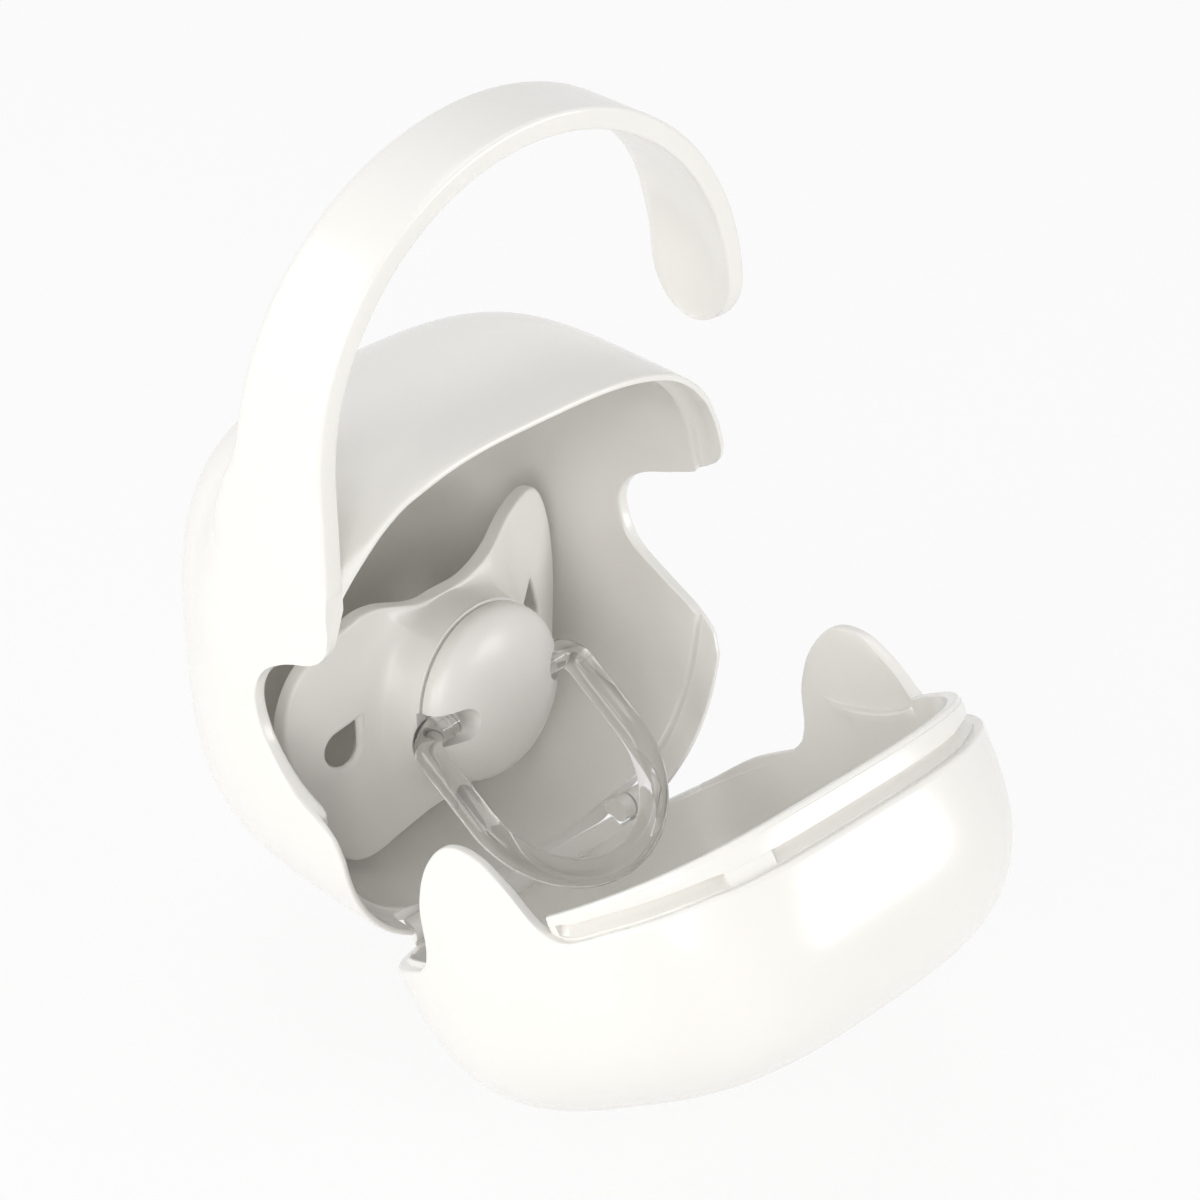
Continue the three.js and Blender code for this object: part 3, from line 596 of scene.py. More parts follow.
def lid_inner_rows(section, rim):
    """Rim face, the ear's thinner top, its ledge and the inner wall of the lid."""
    case = sizes()
    thinner, proud, edge = 0.00035, 0.00055, 0.0004
    least_ear, ledge_fade = 0.0011, 0.006
    ledge = SideLine(EAR_LEDGE_SHARES)
    outer, inner = RoundedBody(), RoundedBody(case.wall)
    height = inner.height * section[1]
    low, high = ledge.heights[0], ledge.heights[-1]
    place_in = np.clip((height - low) / (high - low), 0, 1)
    taper = np.clip(4 * place_in, 0, 1) * np.clip(6 * (1 - place_in), 0, 1)
    taper = np.where((height > low) & (height < high), taper, 0)
    step = np.minimum(ledge.depth(height), rim - least_ear)
    ear = case.wall - thinner * taper
    shelf = ear + (thinner + proud) * taper
    corners = [
        (ear - edge, rim),
        (ear - 0.3 * edge, rim - 0.3 * edge),
        (ear, rim - edge),
        *((ear, rim - edge + (step - rim + edge) * share) for share in (0.25, 0.5, 0.75, 0.94)),
        (ear, step + 0.00005),
        (ear + 0.15 * (shelf - ear), step),
        (shelf - 0.25 * (shelf - ear), step - 0.00005),
        (shelf, step - 0.0003),
    ]
    rows = edge_rows(section, [(case.wall / 2, rim)])
    rows += [outer.place(section, depth, inset) for inset, depth in corners]
    start = step - 0.0009
    near = inner.along(start)
    for row in rows_to_pole(inner, section, start, -inner.front, case.rows):
        fade = np.clip(1 - (near - inner.along(row[:, 1])) / ledge_fade, 0, 1) ** 2
        row[:, (0, 2)] -= (proud * taper * fade * section).T
        rows.append(row)
    return rows


def hinge_room():
    case = sizes()
    return bar_along_x("hinge_room", case.sweep_radius, case.sweep_half, *hinge_axis())


def lid_place():
    """From the closed lid in the centre frame to the open one in the object's frame."""
    case = sizes()
    depth, height = hinge_axis()
    axis = Vector((0, depth, height))
    return (
        case_place()
        @ Matrix.Translation(axis)
        @ Matrix.Rotation(case.open_angle, 4, "X")
        @ Matrix.Translation(-axis)
    )


# The hook


class Band:
    """The way of the hook's band from its foot up the wall and round the arch, with its two edges."""

    def __init__(self):
        case, hook = sizes(), hook_sizes()
        self.front = PARTING_SHARES[0][0] * case.back_reach + hook.set_back
        self.base_back = hook.base_back
        self.start_z = hook.start_share * case.half_height
        self.centre_z = case.half_height + hook.rise
        self.straight = self.centre_z - self.start_z
        self.total = self.straight + hook.radius * (math.pi - hook.end_angle)
        self.edge = spline_through(HOOK_BACK_SHARES, 12)

    def back(self, way):
        """Depth of the back edge at a distance along the band."""
        return np.interp(way / self.total, self.edge[:, 0], self.edge[:, 1]) * self.base_back


def add_hook():
    """The flat band that rises from the left wall and arches over to the dished tip."""
    case, hook, band = sizes(), hook_sizes(), Band()
    rows_along, rows_in_tip = 230, 34
    # Shares of the full thickness that are left at the start and at the tip.
    least_start, least_tip = 0.2, 0.35
    # The first row as a share of the lead-in, the square of the last one's width, and the most of an edge.
    first_row, narrowest, most_ease = 0.35, 0.004, 0.6
    centre_x = hook.radius + hook.thickness / 2 + hook.sink - case.half_width
    first, last = first_row * hook.lead_start, band.total - hook.tip_round
    to_tip = np.linspace(first, last, rows_along, endpoint=False)
    tip = band.total - hook.tip_round * (1 - np.sin(np.linspace(0, QUARTER, rows_in_tip)))
    rows = []
    for way in np.concatenate((to_tip, tip)):
        turn = math.pi - max(way - band.straight, 0) / hook.radius
        out = Vector((math.cos(turn), 0, math.sin(turn)))
        middle = Vector((centre_x, 0, min(band.start_z + way, band.centre_z))) + out * hook.radius
        grown = float(eased(way, hook.lead_start, hook.lead_start + hook.lead_in))
        started = least_start + (1 - least_start) * grown
        sunk = hook.sink_depth * (1 - min(way / hook.sink_length, 1)) ** 2
        middle += out * (hook.thickness / 2 * (1 - started) - sunk)
        back = band.back(way)
        to_end = min((band.total - way) / hook.tip_round, 1)
        narrow = math.sqrt(max(1 - (1 - to_end) ** 2, narrowest))
        half = (back - band.front) / 2 * narrow
        thick = hook.thickness / 2 * min(started, least_tip + (1 - least_tip) * narrow)
        hollow = float(eased(way, band.total - hook.dish_length, band.total - hook.tip_round))
        dish = hook.tip_dish * narrow * hollow
        row = []
        ease = min(hook.front_ease * narrow, most_ease * thick)
        for across, depth in hook_outline(half, thick, ease, hook.back_share):
            bow = dish * (1 - (across / half) ** 2)
            row.append(middle + out * (depth + bow) + Vector((0, (back + band.front) / 2 + across, 0)))
        rows.append(row)
    return loft("hook", rows, "face", "point")


def spread_to_band(row, inset=0.0):
    """Brings the left wall out to the band's outer face, so that the two are one surface at its root."""
    case, hook, band = sizes(), hook_sizes(), Band()
    foot, full, fading, gone = -0.003, 0.009, 0.0185, 0.026
    x, y, z = row.T
    edge = band.back(z - band.start_z)
    behind = eased(y, band.front - 0.0003, band.front + 0.0008)
    before = 1 - eased(y, edge - 0.0025, edge + hook.blend)
    above = eased(z, foot, full) * (1 - eased(z, fading, gone))
    short = np.clip(case.half_width - hook.sink - inset + x, 0, None)
    moved = np.array(row)
    moved[:, 0] -= np.where(x < 0, short * behind * before * above, 0)
    return moved


def front_space(offset):
    """Everything in front of the parting line, as one block."""
    case = sizes()
    side, far = 0.08, -0.15
    heights = np.linspace(-2 * case.half_height, 2.1 * case.half_height, 500)
    depths = SideLine(PARTING_SHARES).depth(heights, offset)
    loop = [*zip(depths, heights), (far, heights[-1]), (far, heights[0])]
    rows = [[(x, y, z) for y, z in loop] for x in (-side, side)]
    return loft("front_space", rows, "face", "face")


def solid_form(name, inset, columns=160, rows=120):
    """The case's form as a closed solid, drawn in by the inset."""
    body = RoundedBody(inset)
    section = section_points(columns)
    depths = body.depth_at(np.linspace(0, body.lengths[-1], rows + 2)[1:-1])
    return loft(name, [body.place(section, depth) for depth in depths], "point", "point")


def hook_outline(half, thick, ease, back_share):
    """The band's section: flat front face with small round edges, full round back edge."""
    round_back = half * back_share
    flat = half - round_back
    side = [
        (-half + ease * (1 - math.cos(turn)), thick - ease * (1 - math.sin(turn)))
        for turn in sweep(0, QUARTER, 5)
    ]
    side += [(-half + ease + (flat + half - ease) * s, thick) for s in (0.15, 0.35, 0.55, 0.75, 0.9)]
    side += [(flat + round_back * math.sin(turn), thick * math.cos(turn)) for turn in sweep(0, QUARTER, 8)]
    return side + [(across, -depth) for across, depth in side[:-1][::-1]]


# Geometry Nodes and the hinge


def add_node(tree, kind, inputs=None, **settings):
    """A new node. An input is set to its value, or linked to it where that is a socket."""
    made = tree.nodes.new(kind)
    for name, value in settings.items():
        setattr(made, name, value)
    for key, value in (inputs or {}).items():
        if isinstance(value, bpy.types.NodeSocket):
            tree.links.new(value, made.inputs[key])
        else:
            made.inputs[key].default_value = value
    return made


def tree_with(name, radius, sides):
    """A Geometry Nodes tree with one geometry in and out, a radius and a number of sides."""
    tree = bpy.data.node_groups.new(name, "GeometryNodeTree")
    tree.interface.new_socket("Geometry", in_out="INPUT", socket_type="NodeSocketGeometry")
    for title, kind, value in (("Radius", "NodeSocketFloat", radius), ("Sides", "NodeSocketInt", sides)):
        tree.interface.new_socket(title, in_out="INPUT", socket_type=kind).default_value = value
    tree.interface.new_socket("Geometry", in_out="OUTPUT", socket_type="NodeSocketGeometry")
    return tree, tree.nodes.new("NodeGroupInput").outputs


def end_tree(tree, geometry, tone):
    """Makes the instances real, gives them their material and puts them out."""
    real = add_node(tree, "GeometryNodeRealizeInstances", {0: geometry})
    painted = add_node(tree, "GeometryNodeSetMaterial", {0: real.outputs[0], "Material": material(tone)})
    add_node(tree, "NodeGroupOutput", {0: painted.outputs[0]})
    return tree


def run_tree(carrier, tree, radius):
    """Keeps the mesh that the tree makes from the carrier with this radius."""
    modifier = carrier.modifiers.new(tree.name, "NODES")
    modifier.node_group = tree
    for item in tree.interface.items_tree:
        if item.item_type == "SOCKET" and item.in_out == "INPUT" and item.name == "Radius":
            modifier[item.identifier] = radius
    bake_modifiers(carrier)
    return carrier


def knuckle_tree(radius):
    """One barrel on each point, as long as the point says."""
    tree, given = tree_with("Hinge Knuckles", radius, 64)
    sizing = {"Depth": 1, "Radius": given["Radius"], "Vertices": given["Sides"]}
    barrel = add_node(tree, "GeometryNodeMeshCylinder", sizing)
    told = {"Name": "knuckle_length"}
    lengths = add_node(tree, "GeometryNodeInputNamedAttribute", told, data_type="FLOAT")
    scale = add_node(tree, "ShaderNodeCombineXYZ", {0: 1, 1: 1, 2: lengths.outputs["Attribute"]})
    put = add_node(tree, "GeometryNodeInstanceOnPoints", {
        "Points": given["Geometry"],
        "Instance": barrel.outputs["Mesh"],
        "Rotation": (0, QUARTER, 0),
        "Scale": scale.outputs[0],
    })
    return end_tree(tree, put.outputs[0], "case_gloss")


def add_knuckles(name, spans):
    """Hinge knuckles in a row along the axis, made by Geometry Nodes."""
    radius = sizes().barrel_radius
    carrier = new_object(name, bpy.data.meshes.new(name))
    carrier.data.from_pydata([((a + b) / 2, *hinge_axis()) for a, b in spans], [], [])
    attribute = carrier.data.attributes.new("knuckle_length", "FLOAT", "POINT")
    attribute.data.foreach_set("value", [b - a for a, b in spans])
    return run_tree(carrier, knuckle_tree(radius), radius)


def both_sides(near, far):
    """The spans from near to far on the left and on the right."""
    return [(-far, -near), (near, far)]


def add_hinge_half(name, spans, near, far, low, high):
    """Knuckles and their webs, cut to the case's outer form."""
    parts = add_knuckles(name + "_knuckles", spans), add_web(name + "_web", spans, near, far, low, high)
    for part in parts:
        cut(part, solid_form("form", 0), "INTERSECT")
    return parts


def add_web(name, spans, near, far, low, high):
    """Small blocks that carry the knuckles, one for each span and a little shorter."""
    shape = bmesh.new()
    short = 0.0001
    for a, b in ((a + short, b - short) for a, b in spans):
        size = Vector((b - a, far - near, high - low))
        middle = Vector(((a + b) / 2, (near + far) / 2, (low + high) / 2))
        for vertex in bmesh.ops.create_cube(shape, size=1)["verts"]:
            vertex.co = Vector(c * s for c, s in zip(vertex.co, size)) + middle
    return object_from_bmesh(name, shape)


# The lid's lips


def lip_points(count, keep):
    """Unit points of the case's section where keep says so, thinned out to a count."""
    section = section_points(LIP_STEPS)
    chosen = section[:, keep(*section)]
    pick = np.linspace(0, chosen.shape[1] - 1, count).round().astype(int)
    return chosen[:, pick]


def steps_to_end(count):
    """How many points each one is from the nearer end of the row."""
    return np.minimum(np.arange(count), np.arange(count)[::-1])


def add_top_lip():
    """The lip along the lid's upper edge with its two long windows and the tab between them."""
    case = sizes()
    count = 420
    tab_x, tab_half = -0.507 * case.half_width, 0.00295
    lowest = 0.405 * case.half_height
    plain_end, sill_share = 0.012, 0.2
    line_step = 0.00012
    section = lip_points(count, lambda x, z: z * case.half_height > lowest)
    parting = SideLine(PARTING_SHARES).depth(section[1] * case.half_height)
    top = PARTING_SHARES[0][0] * case.back_reach + case.lip_proud
    root = parting - 0.0034
    x = section[0] * case.half_width
    beside_tab = (x < tab_x - tab_half) | (x > tab_x + tab_half)
    sunk = np.where(beside_tab & (steps_to_end(count) / count > plain_end), case.window_cut, 0.0)
    near = parting + 0.0002
    far = np.minimum(parting + case.window_height, top - 0.0011)
    outer, inner = case.lip_outer, case.lip_inner
    loops = [
        (outer, root),
        (outer, near - 0.0001),
        (outer + sill_share * sunk, near),
        (outer + sunk, far),
        (outer + 0.00003, far + 0.00003),
        (outer, far + 0.0001),
        (outer, top - 0.00062),
        (outer + 0.00006, top - 0.00056),
        (outer + line_step, top - 0.0005),
        (outer + line_step, top - 0.00025),
        (outer + line_step + 0.0001, top - 0.00007),
        (outer + line_step + 0.0003, top),
        (inner - 0.0003, top),
        (inner - 0.00008, top - 0.0001),
        (inner, top - 0.0003),
        (inner, root),
    ]
    form = RoundedBody()
    rings = np.stack([form.place(section, depth, inset) for inset, depth in loops], axis=1)
    return loft("lip", rings, "face", "face")


def lower_lip(name, keep, full, taper):
    """A low lip with a flat top along the straight part of the parting line, low at its ends."""
    case = sizes()
    count, least, ease = 60, 0.05, 0.0002
    section = lip_points(count, keep)
    proud = full * (least + (1 - least) * eased(steps_to_end(count) / (taper * count), 0, 1))
    top = PARTING_SHARES[-1][0] * case.back_reach + proud
    root = SideLine(PARTING_SHARES).depth(section[1] * case.half_height) - 0.002
    inside = case.wall - 0.00002
    loops = [
        (case.lip_outer, root),
        (case.lip_outer, top - ease),
        (case.lip_outer + ease, top),
        (case.wall - ease, top),
        (inside, top - ease),
        (inside, root),
    ]
    return loft(name, np.stack(edge_rows(section, loops), axis=1), "face", "face")


def add_hinge_lip():
    """The lower lip between the two hinges."""
    case = sizes()
    reach = (case.rear_knuckle_near - case.gap / 2) / (case.half_width - case.lip_outer)
    return lower_lip("hinge_lip", lambda x, z: (z < 0) & (np.abs(x) < reach), case.hinge_lip_proud, 0.001)


def add_side_lip(side):
    """The low lip under one ear."""
    case = sizes()
    low, high = -0.813 * case.half_height, -0.345 * case.half_height

    def beside(x, z):
        height = z * case.half_height
        return (height > low) & (height < high) & (np.sign(x) == side)

    return lower_lip("side_lip", beside, case.side_lip_proud, 0.5)


# Materials


def new_material(name):
    made = bpy.data.materials.new(name)
    made.use_nodes = True
    made.node_tree.nodes.clear()
    return made, made.node_tree


def noise(tree, coords, scale, detail):
    kind = "ShaderNodeTexNoise"
    return add_node(tree, kind, {"Vector": coords, "Scale": scale, "Detail": detail}).outputs["Fac"]


def textured(name, base, spread, rough, bump, shader, clouds, grain=None, stretch=None):
    """A finish with two close tones, uneven gloss and a fine relief.

    Clouds and grain each hold a noise's scale and detail. Without a grain the clouds do for all three.
    """
    made, tree = new_material(name)
    coords = add_node(tree, "ShaderNodeTexCoord").outputs["Object"]
    if stretch:
        coords = add_node(tree, "ShaderNodeMapping", {"Vector": coords, "Scale": stretch}).outputs[0]
    soft = noise(tree, coords, *clouds)
    fine = noise(tree, coords, *grain) if grain else soft
    darker = (*[c * (1 - spread) for c in base], 1)
    lighter = (*[min(c * (1 + spread), 1) for c in base], 1)
    gloss = {"Value": fine, "From Min": 0.3, "From Max": 0.7, "To Min": rough[0], "To Max": rough[1]}
    relief = {"Height": fine, "Strength": bump[0], "Distance": bump[1]}
    tones = add_node(tree, "ShaderNodeMix", {0: soft, 6: darker, 7: lighter}, data_type="RGBA")
    surface = add_node(tree, "ShaderNodeBsdfPrincipled", {
        "Base Color": tones.outputs[2],
        "Roughness": add_node(tree, "ShaderNodeMapRange", gloss).outputs["Result"],
        "Normal": add_node(tree, "ShaderNodeBump", relief).outputs["Normal"],
        **shader,
    })
    add_node(tree, "ShaderNodeOutputMaterial", {0: surface.outputs[0]})
    return made


def moulded_plastic(name, base, rough, cloud, grain, depth, coat=0.0):
    """Moulded plastic: faint clouds of tone, uneven gloss and a fine surface grain."""
    shader = {"IOR": 1.49, "Coat Weight": coat, "Coat Roughness": 0.08}
    return textured(name, base, 0.012, rough, (0.12, depth), shader, (cloud, 4), (grain, 2))


def clear_plastic(name, base):
    shader = {"Transmission Weight": 1, "IOR": 1.52}
    return textured(name, base, 0.01, (0.02, 0.05), (0.05, 0.0001), shader, (180, 3))


def soft_silicone(name, base):
    shader = {"Transmission Weight": 0.35, "IOR": 1.42}
    return textured(name, base, 0.02, (0.34, 0.44), (0.08, 0.0002), shader, (260, 3))


def drawn_steel(name, base):
    """Steel with fine lines along the pin."""
    lines = (40, 2200, 2200)
    return textured(name, base, 0.05, (0.22, 0.38), (0.1, 0.00005), {"Metallic": 1}, (1, 2), stretch=lines)


def material(name):
    """The named finish, made the first time it is asked for."""
    if name in bpy.data.materials:
        return bpy.data.materials[name]
    tones = bpy.context.scene.finish_colours
    makers = {
        "case_gloss": lambda: moulded_plastic(name, tones.shell, (0.2, 0.27), 55, 2600, 0.00003, 0.25),
        "shield_satin": lambda: moulded_plastic(name, tones.shield, (0.28, 0.36), 90, 5200, 0.00004),
        "ring_clear": lambda: clear_plastic(name, tones.clear),
        "teat_silicone": lambda: soft_silicone(name, tones.silicone),
        "pin_drawn": lambda: drawn_steel(name, tones.steel),
    }
    return makers[name]()


# Pacifier


def pacifier_place():
    case, size = sizes(), pacifier_sizes()
    at = Vector((0, case.back_reach - size.room, size.rest - case.half_height))
    return (
        case_place()
        @ Matrix.Translation(at)
        @ Matrix.Rotation(size.turn, 4, "Z")
        @ Matrix.Rotation(-size.lean, 4, "X")
    )


def shield_radii(count):
    """Reach of the shield's outline in each direction from its middle."""
    size = pacifier_sizes()
    whole = np.array(SHIELD_SHARES) * size.wing_reach
    looped = np.concatenate((whole[-2:], whole, whole[:3]))
    steps = 24
    smooth = spline_through(looped, steps)[2 * steps : -2 * steps]
    turn = np.arctan2(smooth[:, 1], smooth[:, 0])
    reach = np.hypot(smooth[:, 0], smooth[:, 1])
    order = np.argsort(turn)
    want = TURN * np.arange(count) / count
    want = np.where(want > math.pi, want - TURN, want)
    return np.interp(want, turn[order], reach[order], period=TURN)


def wing_depth(x):
    """How far back the shield lies at a distance to the side: its curve, and the wings' own turn."""
    size = pacifier_sizes()
    outward = eased(np.abs(x), size.button_radius - 0.003, size.boss_foot + FLARE_PAST)
    return size.wing_back * (x / size.wing_reach) ** 2 + math.tan(size.wing_turn) * x * outward


def squared(value):
    """Makes a quarter turn's sine or cosine fuller, for an edge with tight corners."""
    return math.copysign(math.sqrt(abs(value)), value)


def boss_flare(share):
    """Radius and height on the boss's curve, from the button's edge at 0 to the plate at 1."""
    size = pacifier_sizes()
    rim, level, hair = size.button_radius + size.boss_rim, size.plate / 2, 0.0001
    points = (
        (rim, size.boss_height - hair),
        (rim + hair, size.boss_height * 0.42),
        (size.boss_foot - 0.0012, level),
        (size.boss_foot + FLARE_PAST, level),
    )
    rest = 1 - share
    weights = (rest**3, 3 * share * rest**2, 3 * share**2 * rest, share**3)
    return [sum(w * p[i] for w, p in zip(weights, points)) for i in (0, 1)]


def add_shield():
    """The butterfly plate with its boss, two vents and the room for the ring's ends."""
    size = pacifier_sizes()
    count, ease, hair = 360, 0.0002, 0.0001
    edge_round, flare_rows, plate_rows, edge_steps = 0.0009, 30, 14, 32
    turn = TURN * np.arange(count) / count
    reach = shield_radii(count)
    edge, top, inner = size.plate / 2, size.boss_height, size.button_radius
    rim = inner + size.boss_rim

    def level_row(radius, y):
        radius = radius + 0 * turn
        return np.stack((radius * np.cos(turn), y + 0 * turn, radius * np.sin(turn)), axis=-1)

    def winged_row(radius, front):
        """Points whose height towards the front is measured from the middle of the curved plate."""
        return level_row(radius, wing_depth(radius * np.cos(turn)) - front)

    rows = [
        level_row(size.shield_hole, edge),
        level_row(size.shield_hole, -edge),
        level_row(size.boss_room, -edge),
        level_row(size.boss_room, -top + ease),
        level_row(size.boss_room + ease, -top),
        level_row(rim - hair, -top),
        level_row(rim, -top + hair),
    ]
    flare_end = size.boss_foot + FLARE_PAST
    foot = np.clip(np.minimum(flare_end, reach - 0.0005), rim + hair, reach - hair)
    edge_round = np.minimum(edge_round, reach - foot)
    safe = reach - edge_round
    for share in np.linspace(0, 1, flare_rows)[1:]:
        flare_radius, flare_height = boss_flare(share)
        radius = inner + (flare_radius - inner) * (foot - inner) / (flare_end - inner)
        level = level_row(radius, -flare_height)
        rows.append(level + (winged_row(radius, flare_height) - level) * share)
    for share in np.linspace(0.08, 1, plate_rows):
        rows.append(winged_row(foot + (safe - foot) * share, edge))
    for bend in sweep(0, math.pi, edge_steps)[1:]:
        out, front = squared(math.sin(bend)), squared(math.cos(bend))
        rows.append(winged_row(safe + edge_round * out, edge * front))
    for share in np.linspace(0.9, 0, plate_rows):
        rows.append(winged_row(size.shield_hole + (safe - size.shield_hole) * share, -edge))
    shield = loft("pacifier_shield_plate", rows, ring=True)
    left = (size.left_vent_drop, size.left_vent_lean, size.left_vent_radius, size.left_vent_point)
    right = (size.right_vent_drop, size.right_vent_lean, size.right_vent_radius, size.right_vent_point)
    cut(shield, add_vent_cutter(-1, *left, size.left_vent_flare))
    cut(shield, add_vent_cutter(1, *right, 0))
    cut_slots(shield)
    return shield


def add_vent_cutter(side, drop, lean, radius, point_reach, flare):
    """A teardrop hole through the wing with a rounded front edge. It may widen behind that edge."""
    size = pacifier_sizes()
    swing = math.acos(radius / point_reach)
    outline = [
        Vector((radius * math.cos(turn), 0, radius * math.sin(turn)))
        for turn in sweep(QUARTER + swing, TURN - 2 * swing, 48)
    ]
    tip = Vector((0, 0, point_reach))
    first, last = outline[0], outline[-1]
    sides = (0.33, 0.62, 0.84)
    outline += [last.lerp(tip, t) for t in sides] + [tip * 0.97] + [first.lerp(tip, t) for t in sides[::-1]]
    leaned = Matrix.Rotation(lean, 4, "Y")
    middle = Vector((side * size.vent_x, 0, -drop))
    edge, past = size.vent_edge, 0.0015
    levels = [(-past, 1.0)]
    levels += [(edge * (1 - math.cos(turn)), 1 - math.sin(turn)) for turn in sweep(0, QUARTER, 5)]
    levels += [(size.plate * 0.55, 0.35 * flare), (size.plate, flare), (size.plate + past, 1.8 * flare)]
    rows = []
    for back, grow in levels:
        row = [leaned @ (point * (1 + grow * edge / radius)) + middle for point in outline]
        rows.append([p + Vector((0, float(wing_depth(p.x)) - size.plate / 2 + back, 0)) for p in row])
    return loft("vent_cutter", rows, "face", "face")


def cut_slots(piece):
    """Takes the room for the ring's two ends out of the piece. It is open to the front and to the side."""
    size = pacifier_sizes()
    radius, outer = size.pivot_hole, size.boss_foot + 0.004
    levels = (-size.button_height - 0.001, -size.pivot_front + radius)
    for side, inner in ((-1, size.left_slot_near), (1, size.right_slot_near)):
        outline = [
            (inner + radius + radius * math.cos(turn), radius * math.sin(turn))
            for turn in sweep(QUARTER, math.pi, 32)
        ]
        outline += [(outer, -radius), (outer, radius)]
        rows = [[(side * x, y, z) for x, z in outline] for y in levels]
        cut(piece, loft("slot_cutter", rows, "face", "face"))


def dome_profile(edge, steps=48):
    """Profile of the button from the middle of its dome to its eased foot."""
    size = pacifier_sizes()
    radius, foot, bend = size.button_radius, size.button_base, 2 / size.button_power
    height = size.button_height - size.button_side
    profile = [(0, size.button_side + height)]
    for turn in sweep(0, QUARTER, steps)[1:]:
        up = max(math.cos(turn), 0) ** bend
        profile.append((radius * math.sin(turn) ** bend, size.button_side + height * up))
    eased_foot = [(radius, foot + edge), (radius - 0.3 * edge, foot + 0.3 * edge), (radius - edge, foot)]
    return profile + eased_foot


def add_button():
    """The domed button, with a pocket for each end of the ring."""
    size = pacifier_sizes()
    core, bottom, edge = size.boss_room - 0.0002, 0.0044, 0.0001
    profile = dome_profile(edge) + [(core, size.button_base), (core, bottom), (0, bottom)]
    button = turned("pacifier_button_cap", profile, 160)
    cut_slots(button)
    return button


def ring_path():
    """Points along the middle of the ring's rod, in the ring's own plane."""
    size = pacifier_sizes()
    half, corner, far = size.ring_half, size.ring_corner, size.ring_reach - size.ring_half
    bend_x, bend_steps = half - corner, 12
    right = [Vector((size.ring_inside + (bend_x - size.ring_inside) * t, 0, 0)) for t in (0, 0.5)]
    for i in range(bend_steps + 1):
        turn = QUARTER * (1 - i / bend_steps)
        right.append(Vector((bend_x + corner * math.cos(turn), 0, -corner + corner * math.sin(turn))))
    right += [Vector((half, 0, -corner - (far - corner) * t)) for t in (0.25, 0.5, 0.75)]
    bow = [
        Vector((half * math.cos(turn), 0, -far + half * math.sin(turn)))
        for turn in sweep(0, -math.pi, 64)
    ]
    return right + bow + [Vector((-p.x, 0, p.z)) for p in right[::-1]]


def rod_tree(radius):
    """A round rod swept along the given line."""
    tree, given = tree_with("Clear Rod", radius, 48)
    curve = add_node(tree, "GeometryNodeMeshToCurve", {"Mesh": given["Geometry"]})
    around = {"Radius": given["Radius"], "Resolution": given["Sides"]}
    profile = add_node(tree, "GeometryNodeCurvePrimitiveCircle", around)
    along = {"Curve": curve.outputs[0], "Profile Curve": profile.outputs[0], "Fill Caps": True}
    return end_tree(tree, add_node(tree, "GeometryNodeCurveToMesh", along).outputs[0], "ring_clear")


def add_ring():
    """The clear ring, hinged at the button and hanging down to the front."""
    size = pacifier_sizes()
    points = ring_path()
    mesh = bpy.data.meshes.new("pacifier_ring_rod")
    mesh.from_pydata([tuple(p) for p in points], [(i, i + 1) for i in range(len(points) - 1)], [])
    ring = run_tree(new_object("pacifier_ring_rod", mesh), rod_tree(size.ring_tube), size.ring_tube)
    hang = Matrix.Rotation(size.lean - (QUARTER - size.ring_drop), 4, "X")
    place(ring, Matrix.Translation((0, -size.pivot_front, 0)) @ hang)
    return ring


def add_teat():
    """The hollow teat: flange, neck through the shield and round bulb."""
    size = pacifier_sizes()
    gap, edge, steps = sizes().gap, 0.0003, 32
    back = size.plate / 2 + gap

    def bulb(inset):
        """Profile of the round end, from the neck to the tip."""
        made = []
        for i in range(steps + 1):
            turn = math.pi * (1 - 1 / 4 - 3 / 4 * i / steps)
            radius = (size.teat_bulb - inset) * math.sin(turn)
            front = -size.teat_length + size.teat_bulb - (size.teat_bulb - inset) * math.cos(turn)
            made.append((0 if i == steps else radius, front))
        return made

    outer = [
        (size.teat_bore, back + size.flange),
        (size.flange_radius - edge, back + size.flange),
        (size.flange_radius, back + size.flange - edge),
        (size.flange_radius, back),
        (size.neck_radius, back),
        (size.neck_radius, -back),
        (size.teat_neck, -back - 2 * gap),
        *bulb(0),
    ]
    inner = [(size.teat_bore, -back - gap), (size.teat_neck - size.teat_wall, -back - 2 * gap)]
    inner += bulb(size.teat_wall)
    shape = turned("teat_outside", outer[::-1])
    hollow = turned("teat_inside", ([(size.teat_bore, back + size.flange)] + inner)[::-1])
    gather(shape, hollow)
    # The two skins have their mouth's points in common, and joining those closes the mesh.
    whole = bmesh.new()
    whole.from_mesh(shape.data)
    bpy.data.objects.remove(shape)
    return object_from_bmesh("pacifier_teat_bulb", whole)


def add_plug():
    """The disc and post that hold the teat in the shield."""
    size = pacifier_sizes()
    gap, edge = sizes().gap, 0.0002
    front = size.plate / 2 + gap + size.flange + gap
    profile = [
        (0, front + size.plug_disc),
        (size.plug_radius - edge, front + size.plug_disc),
        (size.plug_radius, front + size.plug_disc - edge),
        (size.plug_radius, front + edge),
        (size.plug_radius - edge, front),
        (size.plug_post, front),
        (size.plug_post, front - size.plug_reach + edge),
        (size.plug_post - edge, front - size.plug_reach),
        (0, front - size.plug_reach),
    ]
    return turned("pacifier_plug_disc", profile, 96)


# Floor, lamps and camera


def add_lamp(name, at, size, power, tone, aim):
    """A round area lamp that looks at the aim."""
    lamp = bpy.data.lights.new(name, "AREA")
    lamp.shape = "DISK"
    lamp.size = size
    lamp.energy = power
    lamp.color = tone
    piece = bpy.data.objects.new(name, lamp)
    bpy.context.collection.objects.link(piece)
    piece.location = at
    piece.rotation_euler = (Vector(aim) - Vector(at)).to_track_quat("-Z", "Y").to_euler()


